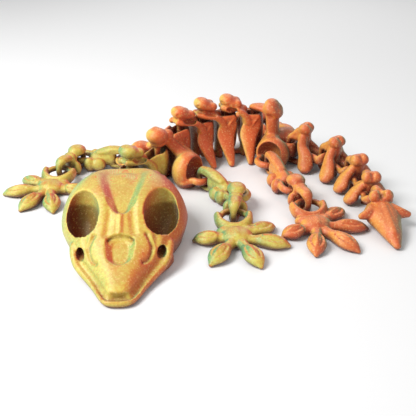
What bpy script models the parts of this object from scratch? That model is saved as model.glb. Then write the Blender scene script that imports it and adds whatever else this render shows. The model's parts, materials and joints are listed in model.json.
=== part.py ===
"""Print-in-place toy: a gecko skeleton whose bones are linked loop through loop.

Every piece stands on the floor, as it came off the print bed, and swings level about a
vertical post that hangs in the loop of its neighbour. Sizes are in millimetres; MM turns
them into metres. Each piece is modelled lengthwise along +X from its own front post, with
+Y to its left, then turned and set down where the photographed pose has it.
"""
import math

import bmesh
import bpy
from mathutils import Matrix, Vector

MM = 0.001
# The middle of the plan in the working coordinates below; it becomes the part's own origin.
CENTRE = (-5.49, 25.01)

X_AXIS = Vector((1, 0, 0))
Y_AXIS = Vector((0, 1, 0))
Z_AXIS = Vector((0, 0, 1))

# Posts of the spine, from the skull's to the tail tip's, on the floor plan.
SPINE_POSTS = {
    "neck": (-36.5, 12.5),
    "shoulder_girdle": (-24.3, 26.9),
    "rib_vertebra_1": (-14.3, 45.2),
    "rib_vertebra_2": (-3.2, 54.0),
    "rib_vertebra_3": (9.9, 58.9),
    "pelvis": (23.8, 60.5),
    "tail_1": (42.0, 48.6),
    "tail_2": (57.4, 39.6),
    "tail_3": (68.0, 26.8),
    "tail_4": (73.2, 13.0),
    "tail_tip": (73.8, -1.2),
}
TAIL_TIP_HEADING = -85.0
SKULL_HEADING = 93.5

# Heights: the top of each knob and the top of the loop wall behind it.
KNOB_TOP = {
    "neck": 25.5, "shoulder_girdle": 28.0, "rib_vertebra_1": 32.0, "rib_vertebra_2": 33.5,
    "rib_vertebra_3": 33.7, "pelvis": 32.5, "tail_1": 23.8, "tail_2": 21.4,
    "tail_3": 18.5, "tail_4": 16.5, "tail_tip": 14.5,
}
LOOP_TOP = {
    "skull": 14.5, "neck": 17.0, "shoulder_girdle": 21.0, "rib_vertebra_1": 21.5,
    "rib_vertebra_2": 23.5, "rib_vertebra_3": 23.5, "pelvis": 12.5, "tail_1": 11.0,
    "tail_2": 10.0, "tail_3": 9.2, "tail_4": 8.6,
}
LOOP_FLOOR = 4.3
SPINE_LOOP = (4.2, 1.4)
TAIL_LOOP = (3.8, 1.3)
LIMB_LOOP = (4.8, 1.6)
LIMB_BAR_HEIGHT = 5.2
SPINE_POST_RADIUS = 1.5
TAIL_POST_RADIUS = 1.4
LIMB_POST_RADIUS = 1.5
ARCH_GAP = 0.8

RIB_REACH = {"rib_vertebra_1": 14.5, "rib_vertebra_2": 15.5, "rib_vertebra_3": 15.0}
PADDLE_REACH = {"tail_1": 8.5, "tail_2": 10.0, "tail_3": 10.5, "tail_4": 9.5}

# Shoulder and hip posts, measured along and to the side of their own girdle.
SHOULDER_POST = (4.0, 21.0)
HIP_POST = (17.4, 15.1)

# Limbs: headings of the upper link, the lower link and the foot, in degrees.
LIMB_HEADINGS = {
    "left_front": (-44.7, -97.2, -86.0),
    "right_front": (171.0, 244.0, 263.0),
    "left_hind": (-71.5, -74.5, -82.0),
    "right_hind": (115.0, 165.0, 160.0),
}
FRONT_LINKS = (24.2, 19.2)
HIND_LINKS = (28.5, 18.7)
FOOT_HUB = 13.5
# Toes: angle from the foot's own heading, towards the body side, and reach from its hub.
TOES = {
    "left_front": ((-96, 18.4), (-37, 20.5), (22, 20.7), (77, 22.3), (121, 20.8)),
    "right_front": ((-96, 18.4), (-23, 20.5), (22, 20.7), (77, 22.3), (121, 20.8)),
    "left_hind": ((-76, 16.9), (-17, 20.3), (33, 22.7), (84, 22.6), (130, 22.0)),
    "right_hind": ((-76, 16.9), (-17, 20.3), (33, 22.7), (84, 22.6), (130, 22.0)),
}

# The skull's sides draw in by this much at the floor, from this height down, behind the jaw.
SKULL_TUCK = 3.2
SKULL_TUCK_TOP = 8.0
SKULL_JAW = 55.0
# Skull sections: distance in front of the post, half width, height.
SKULL_SECTIONS = (
    (10.2, 3.0, 13.0), (12.0, 9.2, 18.2), (16.0, 15.8, 22.4), (21.0, 21.0, 24.8),
    (27.0, 25.2, 25.8), (34.0, 26.7, 25.0), (42.0, 25.9, 22.4), (49.0, 23.3, 18.8),
    (54.0, 20.6, 16.0), (59.0, 18.4, 13.6), (64.0, 14.9, 11.5), (69.0, 11.0, 9.5),
    (73.6, 7.8, 7.6), (78.0, 5.5, 5.8), (81.2, 2.6, 3.6),
)
EYE_CENTRE = (45.4, 15.2, 13.4)
EYE_RADII = (10.2, 6.4, 10.6)
EYE_FLARE = (44.8, 15.3, 19.0)
FLARE_RADII = (9.9, 6.1, 9.6)
EYE_TURN = 19.0
BROW_GROOVE = ((17.0, 13.2), (27.0, 9.4), (36.0, 5.6), (45.0, 2.4))
NOSE_DIP = (63.4, 13.4)
NOSE_RADII = (6.2, 6.2, 2.9)
MOUTH_LINE = ((59.0, 18.4, 7.6), (63.5, 15.2, 6.8), (68.4, 11.2, 5.6), (73.4, 7.9, 4.6),
              (77.8, 5.6, 4.0), (81.0, 2.8, 3.8))
# The lower jaw's rim: distance in front of the post, to the side, height.
JAW_RIM = ((59.6, 18.2, 6.4), (64.1, 15.5, 3.6), (69.0, 11.5, 2.4), (74.0, 8.2, 1.8),
           (78.4, 5.9, 1.6), (81.6, 3.1, 1.6))

# Fused parts flow together on a grid this fine, softened this often, into so many triangles.
FLOW_VOXEL = 0.6
FLOW_PASSES = 3
PIECE_TRIANGLES = 430
RIBBED_TRIANGLES = 560
FOOT_TRIANGLES = 520
GIRDLE_TRIANGLES = 1150
SKULL_TRIANGLES = 1700

BONE_COLOUR = (0.80, 0.42, 0.18, 1.0)
HEAD_COLOUR = (0.83, 0.72, 0.36, 1.0)


def clear_scene():
    """Remove whatever the file holds, so that the model starts from nothing."""
    for obj in list(bpy.data.objects):
        bpy.data.objects.remove(obj)


def new_object(name, bm):
    """Turn a bmesh into a linked object with its faces pointing out."""
    bmesh.ops.recalc_face_normals(bm, faces=bm.faces)
    mesh = bpy.data.meshes.new(name)
    bm.to_mesh(mesh)
    bm.free()
    obj = bpy.data.objects.new(name, mesh)
    bpy.context.scene.collection.objects.link(obj)
    return obj


def smooth_row(rows, steps):
    """Rows of numbers with steps - 1 rows added between neighbours on a smooth curve."""
    if steps == 1:
        return [Vector(row) for row in rows]
    out = []
    for i in range(len(rows) - 1):
        before = Vector(rows[max(i - 1, 0)])
        start = Vector(rows[i])
        end = Vector(rows[i + 1])
        after = Vector(rows[min(i + 2, len(rows) - 1)])
        for step in range(steps):
            t = step / steps
            out.append(0.5 * (2 * start + (end - before) * t
                              + (2 * before - 5 * start + 4 * end - after) * t * t
                              + (3 * start - before - 3 * end + after) * t * t * t))
    out.append(Vector(rows[-1]))
    return out


def bar(points, radii, side, steps=1, sides=8):
    """A closed bar along points; radii gives its half size along side and across it."""
    spine = smooth_row(points, steps)
    sizes = smooth_row([(r, r) if isinstance(r, (int, float)) else r for r in radii], steps)
    tangents = [(spine[min(i + 1, len(spine) - 1)] - spine[max(i - 1, 0)]).normalized()
                for i in range(len(spine))]
    rings = list(zip(spine, sizes, tangents))
    first, last = rings[0], rings[-1]
    rings.insert(0, (first[0] - first[2] * min(first[1]) * 0.6, first[1] * 0.55, first[2]))
    rings.append((last[0] + last[2] * min(last[1]) * 0.6, last[1] * 0.55, last[2]))
    flat = 1 / math.cos(math.pi / sides)
    bm = bmesh.new()
    loops = []
    for centre, size, tangent in rings:
        wide = (side - tangent * side.dot(tangent)).normalized()
        tall = tangent.cross(wide)
        loop = []
        for k in range(sides):
            angle = (k + 0.5) * math.tau / sides
            offset = wide * (size[0] * math.cos(angle)) + tall * (size[1] * math.sin(angle))
            loop.append(bm.verts.new(centre + offset * flat))
        loops.append(loop)
    for near, far in zip(loops, loops[1:]):
        for k in range(sides):
            bm.faces.new((near[k], near[(k + 1) % sides], far[(k + 1) % sides], far[k]))
    bm.faces.new(loops[0])
    bm.faces.new(loops[-1])
    return new_object("bar", bm)


def blob(centre, radii, turn=0.0, level=2):
    """An ellipsoid, turned about Z by turn degrees."""
    bm = bmesh.new()
    place = Matrix.Translation(centre) @ Matrix.Rotation(math.radians(turn), 4, "Z")
    bmesh.ops.create_icosphere(bm, subdivisions=level, radius=1.0)
    bmesh.ops.transform(bm, verts=bm.verts, matrix=place @ Matrix.Diagonal((*radii, 1.0)))
    return new_object("blob", bm)


def floor_slab():
    """Everything below the print bed, for cutting flat feet."""
    bm = bmesh.new()
    bmesh.ops.create_cube(bm, size=1.0)
    bmesh.ops.scale(bm, verts=bm.verts, vec=(220, 220, 20))
    bmesh.ops.translate(bm, verts=bm.verts, vec=(0, 0, -10))
    return new_object("floor_slab", bm)


def boolean(obj, tools, operation):
    """Apply one exact Boolean of the tools on obj and remove the tools."""
    group = bpy.data.collections.new("tools")
    for tool in tools:
        group.objects.link(tool)
    modifier = obj.modifiers.new("boolean", "BOOLEAN")
    modifier.operation = operation
    modifier.operand_type = "COLLECTION"
    modifier.collection = group
    modifier.solver = "EXACT"
    apply_modifiers(obj)
    for tool in tools:
        bpy.data.objects.remove(tool)
    bpy.data.collections.remove(group)


def shell_of(seed, seen):
    """Faces joined to seed through shared edges."""
    stack = [seed]
    seen.add(seed)
    shell = []
    while stack:
        face = stack.pop()
        shell.append(face)
        for edge in face.edges:
            for other in edge.link_faces:
                if other not in seen:
                    seen.add(other)
                    stack.append(other)
    return shell


def keep_largest(obj):
    """Weld stray doubles and keep only the largest closed surface."""
    bm = bmesh.new()
    bm.from_mesh(obj.data)
    bmesh.ops.remove_doubles(bm, verts=bm.verts, dist=0.004)
    bmesh.ops.dissolve_degenerate(bm, dist=0.004, edges=bm.edges)
    bmesh.ops.triangulate(bm, faces=bm.faces)
    seen = set()
    shells = [shell_of(face, seen) for face in bm.faces if face not in seen]
    largest = max(shells, key=lambda shell: sum(face.calc_area() for face in shell))
    spare = [face for shell in shells if shell is not largest for face in shell]
    bmesh.ops.delete(bm, geom=spare, context="FACES")
    bm.to_mesh(obj.data)
    bm.free()


def apply_modifiers(obj):
    """Make the evaluated shape the object's own mesh."""
    evaluated = obj.evaluated_get(bpy.context.evaluated_depsgraph_get())
    mesh = bpy.data.meshes.new_from_object(evaluated)
    obj.modifiers.clear()
    obj.data = mesh


def round_over(obj, triangles):
    """Flow the fused parts into one another, then thin the surface to few triangles."""
    remesh = obj.modifiers.new("flow", "REMESH")
    remesh.mode = "VOXEL"
    remesh.voxel_size = FLOW_VOXEL
    smooth = obj.modifiers.new("soften", "SMOOTH")
    smooth.factor = 0.5
    smooth.iterations = FLOW_PASSES
    apply_modifiers(obj)
    thin = obj.modifiers.new("thin", "DECIMATE")
    thin.ratio = triangles / (2 * len(obj.data.polygons))
    thin.use_collapse_triangulate = True
    apply_modifiers(obj)


def fuse(name, parts, cuts, material, triangles):
    """One closed body from overlapping parts, cut, and made flat on the print bed."""
    base = parts[0]
    boolean(base, parts[1:], "UNION")
    if cuts:
        boolean(base, cuts, "DIFFERENCE")
    round_over(base, triangles)
    boolean(base, [floor_slab()], "DIFFERENCE")
    keep_largest(base)
    base.name = name
    base.data.name = name
    base.data.materials.clear()
    base.data.materials.append(material)
    return base


def set_down(obj, post, heading, own_post=0.0):
    """Scale to metres and put the point own_post along the piece on its post."""
    obj.data.transform(Matrix.Translation((-own_post, 0, 0)))
    obj.data.transform(Matrix.Scale(MM, 4))
    obj.data.shade_smooth()
    obj.data.set_sharp_from_angle(angle=math.radians(45))
    obj.location = ((post[0] - CENTRE[0]) * MM, (post[1] - CENTRE[1]) * MM, 0)
    obj.rotation_euler = (0, 0, math.radians(heading))


def finish(name, colour):
    """Satin two-tone plastic, as one plain colour."""
    material = bpy.data.materials.new(name)
    material.use_nodes = True
    shader = material.node_tree.nodes["Principled BSDF"]
    shader.inputs["Base Color"].default_value = colour
    shader.inputs["Roughness"].default_value = 0.36
    shader.inputs["Metallic"].default_value = 0.0
    return material


def vertical_ring(post_x, body_x, arch, post_radius, width):
    """The link's own ring: over the neighbour's loop, down its post and back below it."""
    way = 1 if body_x > post_x else -1
    reach = abs(body_x - post_x)
    rows = ((reach, arch - 0.6), (reach * 0.55, arch + 0.4), (1.5, arch - 0.1),
            (0, arch - 2.6), (0, 4.0), (1.3, 1.9), (reach * 0.5, 1.5), (reach, 1.9))
    points = [(post_x + way * along, 0, height) for along, height in rows]
    slim = (post_radius, post_radius)
    top = (width, 1.9)
    sole = (width * 0.85, 1.4)
    return bar(points, (top, top, (width * 0.9, 1.9), slim, slim, slim, sole, sole), Y_AXIS)


def wall_loop(post_x, root_x, top, size, root_top=None):
    """The tall loop behind a spine piece, a wall bent round the next piece's post."""
    radius, half_thick = size
    root_top = top - 2.5 if root_top is None else root_top
    points = [(root_x, radius * 0.7)]
    tops = [root_top]
    for angle in (128, 90, 45, 0, -45, -90, -128):
        turn = math.radians(angle)
        points.append((post_x + radius * math.cos(turn), radius * math.sin(turn)))
        tops.append(top)
    points.append((root_x, -radius * 0.7))
    tops.append(root_top)
    centres = [(x, y, (LOOP_FLOOR + high) / 2) for (x, y), high in zip(points, tops)]
    radii = [((high - LOOP_FLOOR) / 2, half_thick) for high in tops]
    return bar(centres, radii, Z_AXIS)


def bar_loop(post, out, size, root, height=LIMB_BAR_HEIGHT):
    """A round bar bent level round post; out is the way it faces, root where it ends."""
    radius, thick = size
    points = []
    for side, angles in ((1, (105, 70, 35, 0)), (-1, (35, 70, 105))):
        row = [math.radians(out + side * angle) for angle in angles]
        points += [(post[0] + radius * math.cos(a), post[1] + radius * math.sin(a), height)
                   for a in row]
    points.insert(0, root[0])
    points.append(root[1])
    return bar(points, [thick] * len(points), Z_AXIS)


def cap(x, top, size, foot):
    """The mushroom cap on a stout neck down to foot, with a lobe to each side behind."""
    return [
        blob((x - 0.5, 0, top - 3.6 * size), (4.5 * size, 5.0 * size, 3.6 * size)),
        blob((x + 3.6 * size, 2.5 * size, top - 4.0 * size), (2.7 * size, 2.8 * size, 2.3 * size)),
        blob((x + 3.6 * size, -2.5 * size, top - 4.0 * size), (2.7 * size, 2.8 * size, 2.3 * size)),
        bar(((x + 0.2, 0, top - 4.4 * size), (x + 0.8, 0, top - 7.4 * size), (x + 1.4, 0, foot)),
            ((2.8 * size, 3.9 * size), (2.9 * size, 4.2 * size), (2.6, 4.4)), Y_AXIS),
    ]


def cap_hollows(x, top, size):
    """What is cut away under the cap's brim on each side."""
    return [blob((x + 1.8 * size, side * 4.9 * size, top - 7.5 * size), (3.4 * size, 2.5 * size, 1.75 * size))
            for side in (1, -1)]


def hood(arch, half):
    """The broad arch over the loop in front, its side skirts and the column behind it."""
    parts = [bar(((-2.2, 0, arch + 1.0), (0.6, 0, arch + 0.7), (4.2, 0, arch + 0.6), (7.4, 0, arch - 0.9),
                  (9.2, 0, arch - 5.0), (9.4, 0, 8.0), (9.4, 0, 0.5)),
                 ((half * 0.66, 1.3), (half * 0.8, 1.5), (half * 0.9, 1.6), (half, 1.8), (half, 2.0),
                  (3.4, 2.1), (3.8, 2.2)), Y_AXIS)]
    for side in (1, -1):
        parts.append(bar(((-2.8, side * half * 0.5, arch + 0.9), (1.6, side * half * 0.8, arch + 0.4),
                          (5.6, side * half, arch - 0.2), (8.6, side * (half + 0.3), arch - 2.6),
                          (10.8, side * (half + 0.5), arch - 6.4)),
                         ((1.6, 1.5), (1.9, 1.5), (1.9, 1.5), (1.8, 1.9), (1.7, 2.4)), Y_AXIS))
    return parts


def rib(side, reach, top, back):
    """A broad blade from the loop wall down to the floor, to one side, and its front bulge."""
    blade = bar(((back + 0.2, 5.0 * side, top - 2.2), (back - 1.2, 5.5 * side, top * 0.79),
                 (back - 3.2, 6.8 * side, top * 0.60), (10.6, 0.66 * reach * side, top * 0.40),
                 (10.9, 0.84 * reach * side, top * 0.19), (10.8, reach * side, 1.2)),
                ((4.2, 1.0), (4.9, 1.4), (4.9, 1.7), (3.7, 1.8), (2.6, 1.7), (1.7, 1.4)), X_AXIS)
    bulge = bar(((10.0, 5.6 * side, top * 0.80), (9.2, 6.4 * side, top * 0.62),
                 (9.6, 0.62 * reach * side, top * 0.45)), ((1.6, 1.4), (3.0, 1.6), (2.6, 1.6)), X_AXIS)
    return [blade, bulge]


def arch_height(loop_top):
    """Middle height of an arch that clears the loop wall in front of it."""
    return loop_top + ARCH_GAP + 1.9


def vertebra(name, previous, length, material):
    """A spine piece: ring, cap, neck, tall loop wall and, on the trunk, two ribs."""
    arch = arch_height(LOOP_TOP[previous])
    top = LOOP_TOP[name]
    ribbed = name in RIB_REACH
    size = 1.0 if ribbed else 0.96
    parts = [
        vertical_ring(0, 9.0, arch, SPINE_POST_RADIUS, 2.6),
        wall_loop(length, 9.4, top, SPINE_LOOP, top - 1.2),
    ]
    parts += hood(arch, 5.4 if ribbed else 4.6)
    parts += cap(0.9, KNOB_TOP[name], size, arch + 2.0)
    if ribbed:
        for side in (1, -1):
            parts += rib(side, RIB_REACH[name], top, length)
    else:
        parts += [blob((10.0, side * 4.2, 4.2), (2.8, 3.6, 4.8)) for side in (1, -1)]
    return fuse(name, parts, cap_hollows(0.9, KNOB_TOP[name], size), material, RIBBED_TRIANGLES)


def socket_dome(x, side, lateral, radii, pocket_x):
    """A shoulder or hip: the dome and the pocket cut into its outer side."""
    dome = blob((x, side * (lateral - 7.4), radii[2] - 2.3), radii, level=3)
    pocket = blob((pocket_x, side * (lateral - 0.6), 7.6), (6.2, 7.4, 6.0), level=3)
    return dome, pocket


def girdle_loop(post, side):
    """The level bar in front of a socket that a limb hangs from."""
    x, lateral = post
    root = [(x + way * 5.6, side * (lateral - 5.0), 4.2) for way in (-side, side)]
    return bar_loop((x, side * lateral), 90 * side, LIMB_LOOP, root)


def shoulder_girdle(material, length):
    """The broad piece that carries both arms."""
    name = "shoulder_girdle"
    arch = arch_height(LOOP_TOP["neck"])
    top = LOOP_TOP[name]
    parts = [
        vertical_ring(0, 9.0, arch, SPINE_POST_RADIUS, 3.0),
        bar(((-0.8, 0, arch + 0.5), (2.8, 0, arch + 0.9), (6.4, 0, arch + 0.2), (9.6, 0, arch - 3.0),
             (11.4, 0, 9.0), (11.6, 0, 0.5)),
            ((3.8, 1.6), (4.9, 1.8), (5.2, 2.2), (5.8, 2.8), (7.2, 3.6), (7.4, 4.0)), Y_AXIS),
        wall_loop(length, 11.5, top, SPINE_LOOP),
    ]
    parts += [blob((0.4, 0, KNOB_TOP[name] - 4.0), (5.2, 5.8, 4.0)),
              blob((5.2, 0, KNOB_TOP[name] - 6.4), (3.6, 5.0, 3.0)),
              bar(((0.4, 0, KNOB_TOP[name] - 5.0), (2.4, 0, arch + 2.2)), ((3.2, 3.6), (3.2, 3.8)), Y_AXIS)]
    cuts = []
    for side in (1, -1):
        dome, pocket = socket_dome(4.6, side, SHOULDER_POST[1], (8.6, 6.4, 8.9), SHOULDER_POST[0])
        parts.append(bar(((12.4, side * 1.0, 9.5), (10.6, side * 7.4, 8.2), (7.4, side * 12.0, 7.0)),
                         ((5.2, 7.0), (5.8, 6.2), (6.6, 6.6)), X_AXIS))
        parts += [dome, bar(((13.0, side * 3.0, 15.0), (13.4, side * 6.4, 8.0), (12.6, side * 9.0, 1.2)),
                            ((3.2, 1.6), (4.2, 2.0), (2.2, 1.7)), X_AXIS)]
        cuts.append(pocket)
    return fuse_sockets(name, parts, cuts, material, SHOULDER_POST)


def fuse_sockets(name, parts, pockets, material, post):
    """Fuse a girdle, cut its pockets, then add the loops that stand in front of them."""
    base = parts[0]
    boolean(base, parts[1:], "UNION")
    boolean(base, pockets, "DIFFERENCE")
    loops = [girdle_loop(post, side) for side in (1, -1)]
    return fuse(name, [base] + loops, [], material, GIRDLE_TRIANGLES)


def pelvis(material, length):
    """The piece that carries both hind legs and the first tail piece."""
    name = "pelvis"
    arch = arch_height(LOOP_TOP["rib_vertebra_3"])
    top = LOOP_TOP[name]
    parts = [
        vertical_ring(0, 10.6, arch, SPINE_POST_RADIUS, 2.6),
        bar(((9.6, 0, arch + 1.0), (11.4, 0, 17.0), (12.2, 0, 8.0), (12.2, 0, 0.5)),
            ((3.0, 3.0), (3.2, 2.8), (4.2, 3.4), (4.6, 3.6)), Y_AXIS),
        blob((11.4, 0, KNOB_TOP[name] - 4.6), (4.0, 5.4, 4.6)),
        blob((13.6, 0, KNOB_TOP[name] - 8.4), (3.4, 4.4, 4.6)),
        wall_loop(length, 13.4, top, TAIL_LOOP),
    ]
    cuts = []
    for side in (1, -1):
        dome, pocket = socket_dome(16.4, side, HIP_POST[1], (8.2, 6.0, 8.6), HIP_POST[0] - 0.6)
        parts.append(bar(((12.2, side * 1.0, 9.0), (14.4, side * 6.0, 8.0)),
                         ((5.4, 6.6), (6.4, 6.6)), X_AXIS))
        parts.append(dome)
        cuts.append(pocket)
    return fuse_sockets(name, parts, cuts, material, HIP_POST)


def paddle(side, length, reach, high):
    """A tail piece's side process, sloping out and down to a broad foot."""
    points = ((8.4, side * 2.0, high - 7.0), (8.6, side * reach * 0.42, high * 0.52),
              (length - 6.4, side * reach * 0.64, high * 0.34), (length - 5.2, side * reach * 0.84, 3.4),
              (length - 4.6, side * reach * 0.98, 2.4))
    return bar(points, ((2.4, 2.4), (2.6, 2.0), (3.6, 2.2), (4.2, 2.4), (3.2, 2.2)), X_AXIS)


def tail_piece(name, previous, length, material):
    """A tail piece: long arch, twin-lobed knob, side processes and a low loop wall."""
    arch = arch_height(LOOP_TOP[previous])
    high = KNOB_TOP[name]
    parts = [
        vertical_ring(0, 7.6, arch, TAIL_POST_RADIUS, 2.0),
        bar(((5.0, 0, arch), (8.0, 0, high - 5.0), (8.0, 0, 5.0), (7.8, 0, 0.6)),
            ((2.4, 2.2), (2.8, 2.4), (2.8, 2.1), (2.8, 2.0)), Y_AXIS),
        bar(((1.8, 0, arch + 0.7), (4.6, 0, high - 5.6), (7.0, 0, high - 3.6)),
            ((2.0, 1.3), (2.3, 2.0), (2.6, 2.2)), Y_AXIS),
        blob((8.8, 1.9, high - 2.7), (3.3, 2.5, 2.6)),
        blob((8.8, -1.9, high - 2.7), (3.3, 2.5, 2.6)),
        blob((8.4, 0, high - 4.0), (3.6, 3.9, 2.6)),
        wall_loop(length, 8.4, LOOP_TOP[name], TAIL_LOOP, LOOP_TOP[name] - 0.8),
    ]
    parts += [paddle(side, length, PADDLE_REACH[name], high) for side in (1, -1)]
    return fuse(name, parts, [], material, PIECE_TRIANGLES)


def tail_tip(material):
    """The last piece: knob, two side spikes and a tapering triangular tip."""
    name = "tail_tip"
    arch = arch_height(LOOP_TOP["tail_4"])
    high = KNOB_TOP[name]
    parts = [
        vertical_ring(0, 7.6, arch, TAIL_POST_RADIUS, 2.0),
        bar(((5.0, 0, arch), (8.4, 0, high - 4.6), (9.0, 0, 0.8)),
            ((2.6, 2.4), (3.2, 2.8), (3.4, 2.4)), Y_AXIS),
        blob((9.0, 2.4, high - 3.2), (3.2, 3.0, 3.2)),
        blob((9.0, -2.4, high - 3.2), (3.2, 3.0, 3.2)),
        bar(((8.6, 0, 5.6), (13.6, 0, 5.0), (20.0, 0, 4.2), (27.0, 0, 3.0), (32.6, 0, 1.8)),
            ((4.0, 5.6), (7.6, 5.0), (6.0, 4.0), (3.9, 3.0), (1.9, 1.8)), Y_AXIS),
    ]
    parts += [bar(((11.0, side * 3.0, 6.0), (14.6, side * 7.0, 6.4), (15.8, side * 10.2, 6.2)),
                  ((4.0, 3.6), (2.4, 2.6), (1.4, 1.6)), X_AXIS) for side in (1, -1)]
    return fuse(name, parts, [], material, PIECE_TRIANGLES)


def limb_body(start, end, thick):
    """The shaft of a limb link, with side lobes and a bump on top."""
    middle = (start + end) / 2
    parts = [
        bar(((start, 0, 5.6), (middle, 0, 5.4), (end, 0, 5.0)),
            ((2.8, 4.6), (3.0, 4.2), (3.4, 3.0)), Y_AXIS),
        blob((start + 1.6, 0, 9.2), (3.4, 3.3, 2.6)),
    ]
    parts += [blob((middle + 1.0, side * thick, 3.2), (3.6, 3.0, 3.2)) for side in (1, -1)]
    return parts


def upper_link(name, length, material):
    """Upper arm or thigh: a ring on the girdle's loop and a level loop for the next link."""
    end = length - 6.4
    root = [(length - 8.6, side * 2.8, 4.8) for side in (1, -1)]
    parts = [vertical_ring(0, 8.8, 9.6, LIMB_POST_RADIUS, 2.2)]
    parts += limb_body(8.8, end, 4.2)
    parts.append(bar_loop((length, 0), 0, LIMB_LOOP, root))
    parts += [blob((length - 4.6, side * 5.2, 3.4), (3.0, 2.4, 3.4)) for side in (1, -1)]
    return fuse(name, parts, [], material, PIECE_TRIANGLES)


def lower_link(name, length, material):
    """Forearm or shin: a ring at each end with one stout shaft between them."""
    middle = length / 2
    parts = [
        vertical_ring(0, middle - 0.6, 9.8, LIMB_POST_RADIUS, 3.0),
        vertical_ring(length, middle + 0.6, 9.4, LIMB_POST_RADIUS, 2.4),
        bar(((middle, 0, 9.4), (middle, 0, 1.0)), ((3.0, 2.2), (3.4, 2.3)), Y_AXIS),
        blob((4.2, 0, 10.2), (4.4, 3.8, 2.4)),
    ]
    parts += [blob((middle, side * 3.8, 3.4), (2.4, 2.6, 3.4)) for side in (1, -1)]
    return fuse(name, parts, [], material, PIECE_TRIANGLES)


def toe(angle, reach):
    """One petal-shaped toe, flat below, standing off the foot's hub."""
    turn = math.radians(angle)
    rows = ((2.5, 2.6, 2.4), (8.0, 2.5, 2.1), (reach * 0.62, 4.0, 2.6),
            (reach * 0.84, 2.8, 2.0), (reach - 0.6, 0.9, 0.9))
    points = [(FOOT_HUB + along * math.cos(turn), along * math.sin(turn), high * 0.94)
              for along, _, high in rows]
    return bar(points, [(high, wide) for _, wide, high in rows], Z_AXIS)


def foot(name, toes, mirror, material):
    """Foot: a crescent round the ankle post, closed behind by a thin bar, and five toes."""
    crescent = []
    for angle in (96, 60, 20, -20, -60, -96):
        turn = math.radians(angle)
        lift = 2.6 + 2.2 * abs(angle) / 96
        crescent.append((6.9 * math.cos(turn), 6.9 * math.sin(turn), lift))
    back = []
    for angle, radius in ((96, 5.6), (122, 5.0), (150, 4.6), (180, 4.5), (210, 4.6), (238, 5.0), (264, 5.6)):
        turn = math.radians(angle)
        back.append((radius * math.cos(turn), radius * math.sin(turn), 5.0))
    parts = [
        bar(crescent, ((2.6, 1.7), (3.0, 2.0), (3.0, 2.2), (3.0, 2.2), (3.0, 2.0), (2.6, 1.7)), Z_AXIS),
        bar(back, [1.5] * len(back), Z_AXIS),
        blob((12.4, 0, 3.2), (5.6, 6.2, 3.6)),
    ]
    parts += [toe(mirror * angle, reach) for angle, reach in toes]
    return fuse(name, parts, [], material, FOOT_TRIANGLES)


def skull_top(along, aside):
    """Height of the skull's upper surface, this far in front of the post and to the side."""
    near, far = next((a, b) for a, b in zip(SKULL_SECTIONS, SKULL_SECTIONS[1:]) if along <= b[0])
    share = (along - near[0]) / (far[0] - near[0])
    half = near[1] + (far[1] - near[1]) * share
    high = near[2] + (far[2] - near[2]) * share
    return -1.0 + (high + 1.0) * (1.0 - (aside / half) ** (2 / 0.62)) ** 0.4


def mirrored(row):
    """Points on the left side, then the same ones on the right in the other order."""
    return row + [(x, -y, z) for x, y, z in reversed(row)]


def skull_body():
    """The skull's solid: sections from the back of the head to the chin."""
    bm = bmesh.new()
    sides = 18
    loops = []
    for along, half, high in SKULL_SECTIONS:
        loop = []
        for k in range(sides):
            turn = math.pi * k / (sides - 1)
            height = -1.0 + (high + 1.0) * math.sin(turn) ** 0.80
            tuck = SKULL_TUCK * max(0.0, 1 - max(height, 0) / SKULL_TUCK_TOP) if along < SKULL_JAW else 0.0
            across = half * abs(math.cos(turn)) ** 0.62 - tuck
            loop.append(bm.verts.new((-along, math.copysign(max(across, 0), math.cos(turn)), height)))
        loops.append(loop)
    for near, far in zip(loops, loops[1:]):
        for k in range(sides - 1):
            bm.faces.new((near[k], near[k + 1], far[k + 1], far[k]))
        bm.faces.new((near[-1], near[0], far[0], far[-1]))
    bm.faces.new(loops[0])
    bm.faces.new(loops[-1])
    return new_object("skull_body", bm)


def skull(material):
    """The skull: domed solid, eye sockets, brow grooves, nose dip and the line of the mouth."""
    neck = bar(((-15.0, 0, 9.0), (-8.0, 0, 9.0)), ((5.0, 4.6), (3.4, 4.4)), Y_AXIS)
    parts = [skull_body(), neck, wall_loop(0, -8.6, LOOP_TOP["skull"], SPINE_LOOP)]
    rim = mirrored([(-along, across, high) for along, across, high in JAW_RIM])
    parts.append(bar(rim, [(1.7, 1.8)] * len(rim), Z_AXIS))
    cuts = [blob((-NOSE_DIP[0], 0, NOSE_DIP[1]), NOSE_RADII, level=3)]
    for side in (1, -1):
        for centre, radii in ((EYE_CENTRE, EYE_RADII), (EYE_FLARE, FLARE_RADII)):
            cuts.append(blob((-centre[0], side * centre[1], centre[2]), radii, side * EYE_TURN, 3))
        groove = [(-along, side * across, skull_top(along, across) + 0.4) for along, across in BROW_GROOVE]
        cuts.append(bar(groove, ((1.7, 2.4), (1.8, 2.6), (1.8, 2.4), (1.4, 1.4)), Z_AXIS, steps=2))
    lips = mirrored([(-along, across + 0.7, high) for along, across, high in MOUTH_LINE])
    cuts.append(bar(lips, [(1.1, 1.7)] * len(lips), Z_AXIS, sides=6))
    return fuse("skull", parts, cuts, material, SKULL_TRIANGLES)


def from_girdle(origin, heading, post, side):
    """Floor place of a girdle's shoulder or hip post."""
    turn = math.radians(heading)
    along, lateral = post
    return (origin[0] + along * math.cos(turn) - side * lateral * math.sin(turn),
            origin[1] + along * math.sin(turn) + side * lateral * math.cos(turn))


def step_from(start, heading, length):
    """The point length away from start along heading."""
    turn = math.radians(heading)
    return (start[0] + length * math.cos(turn), start[1] + length * math.sin(turn))


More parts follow.
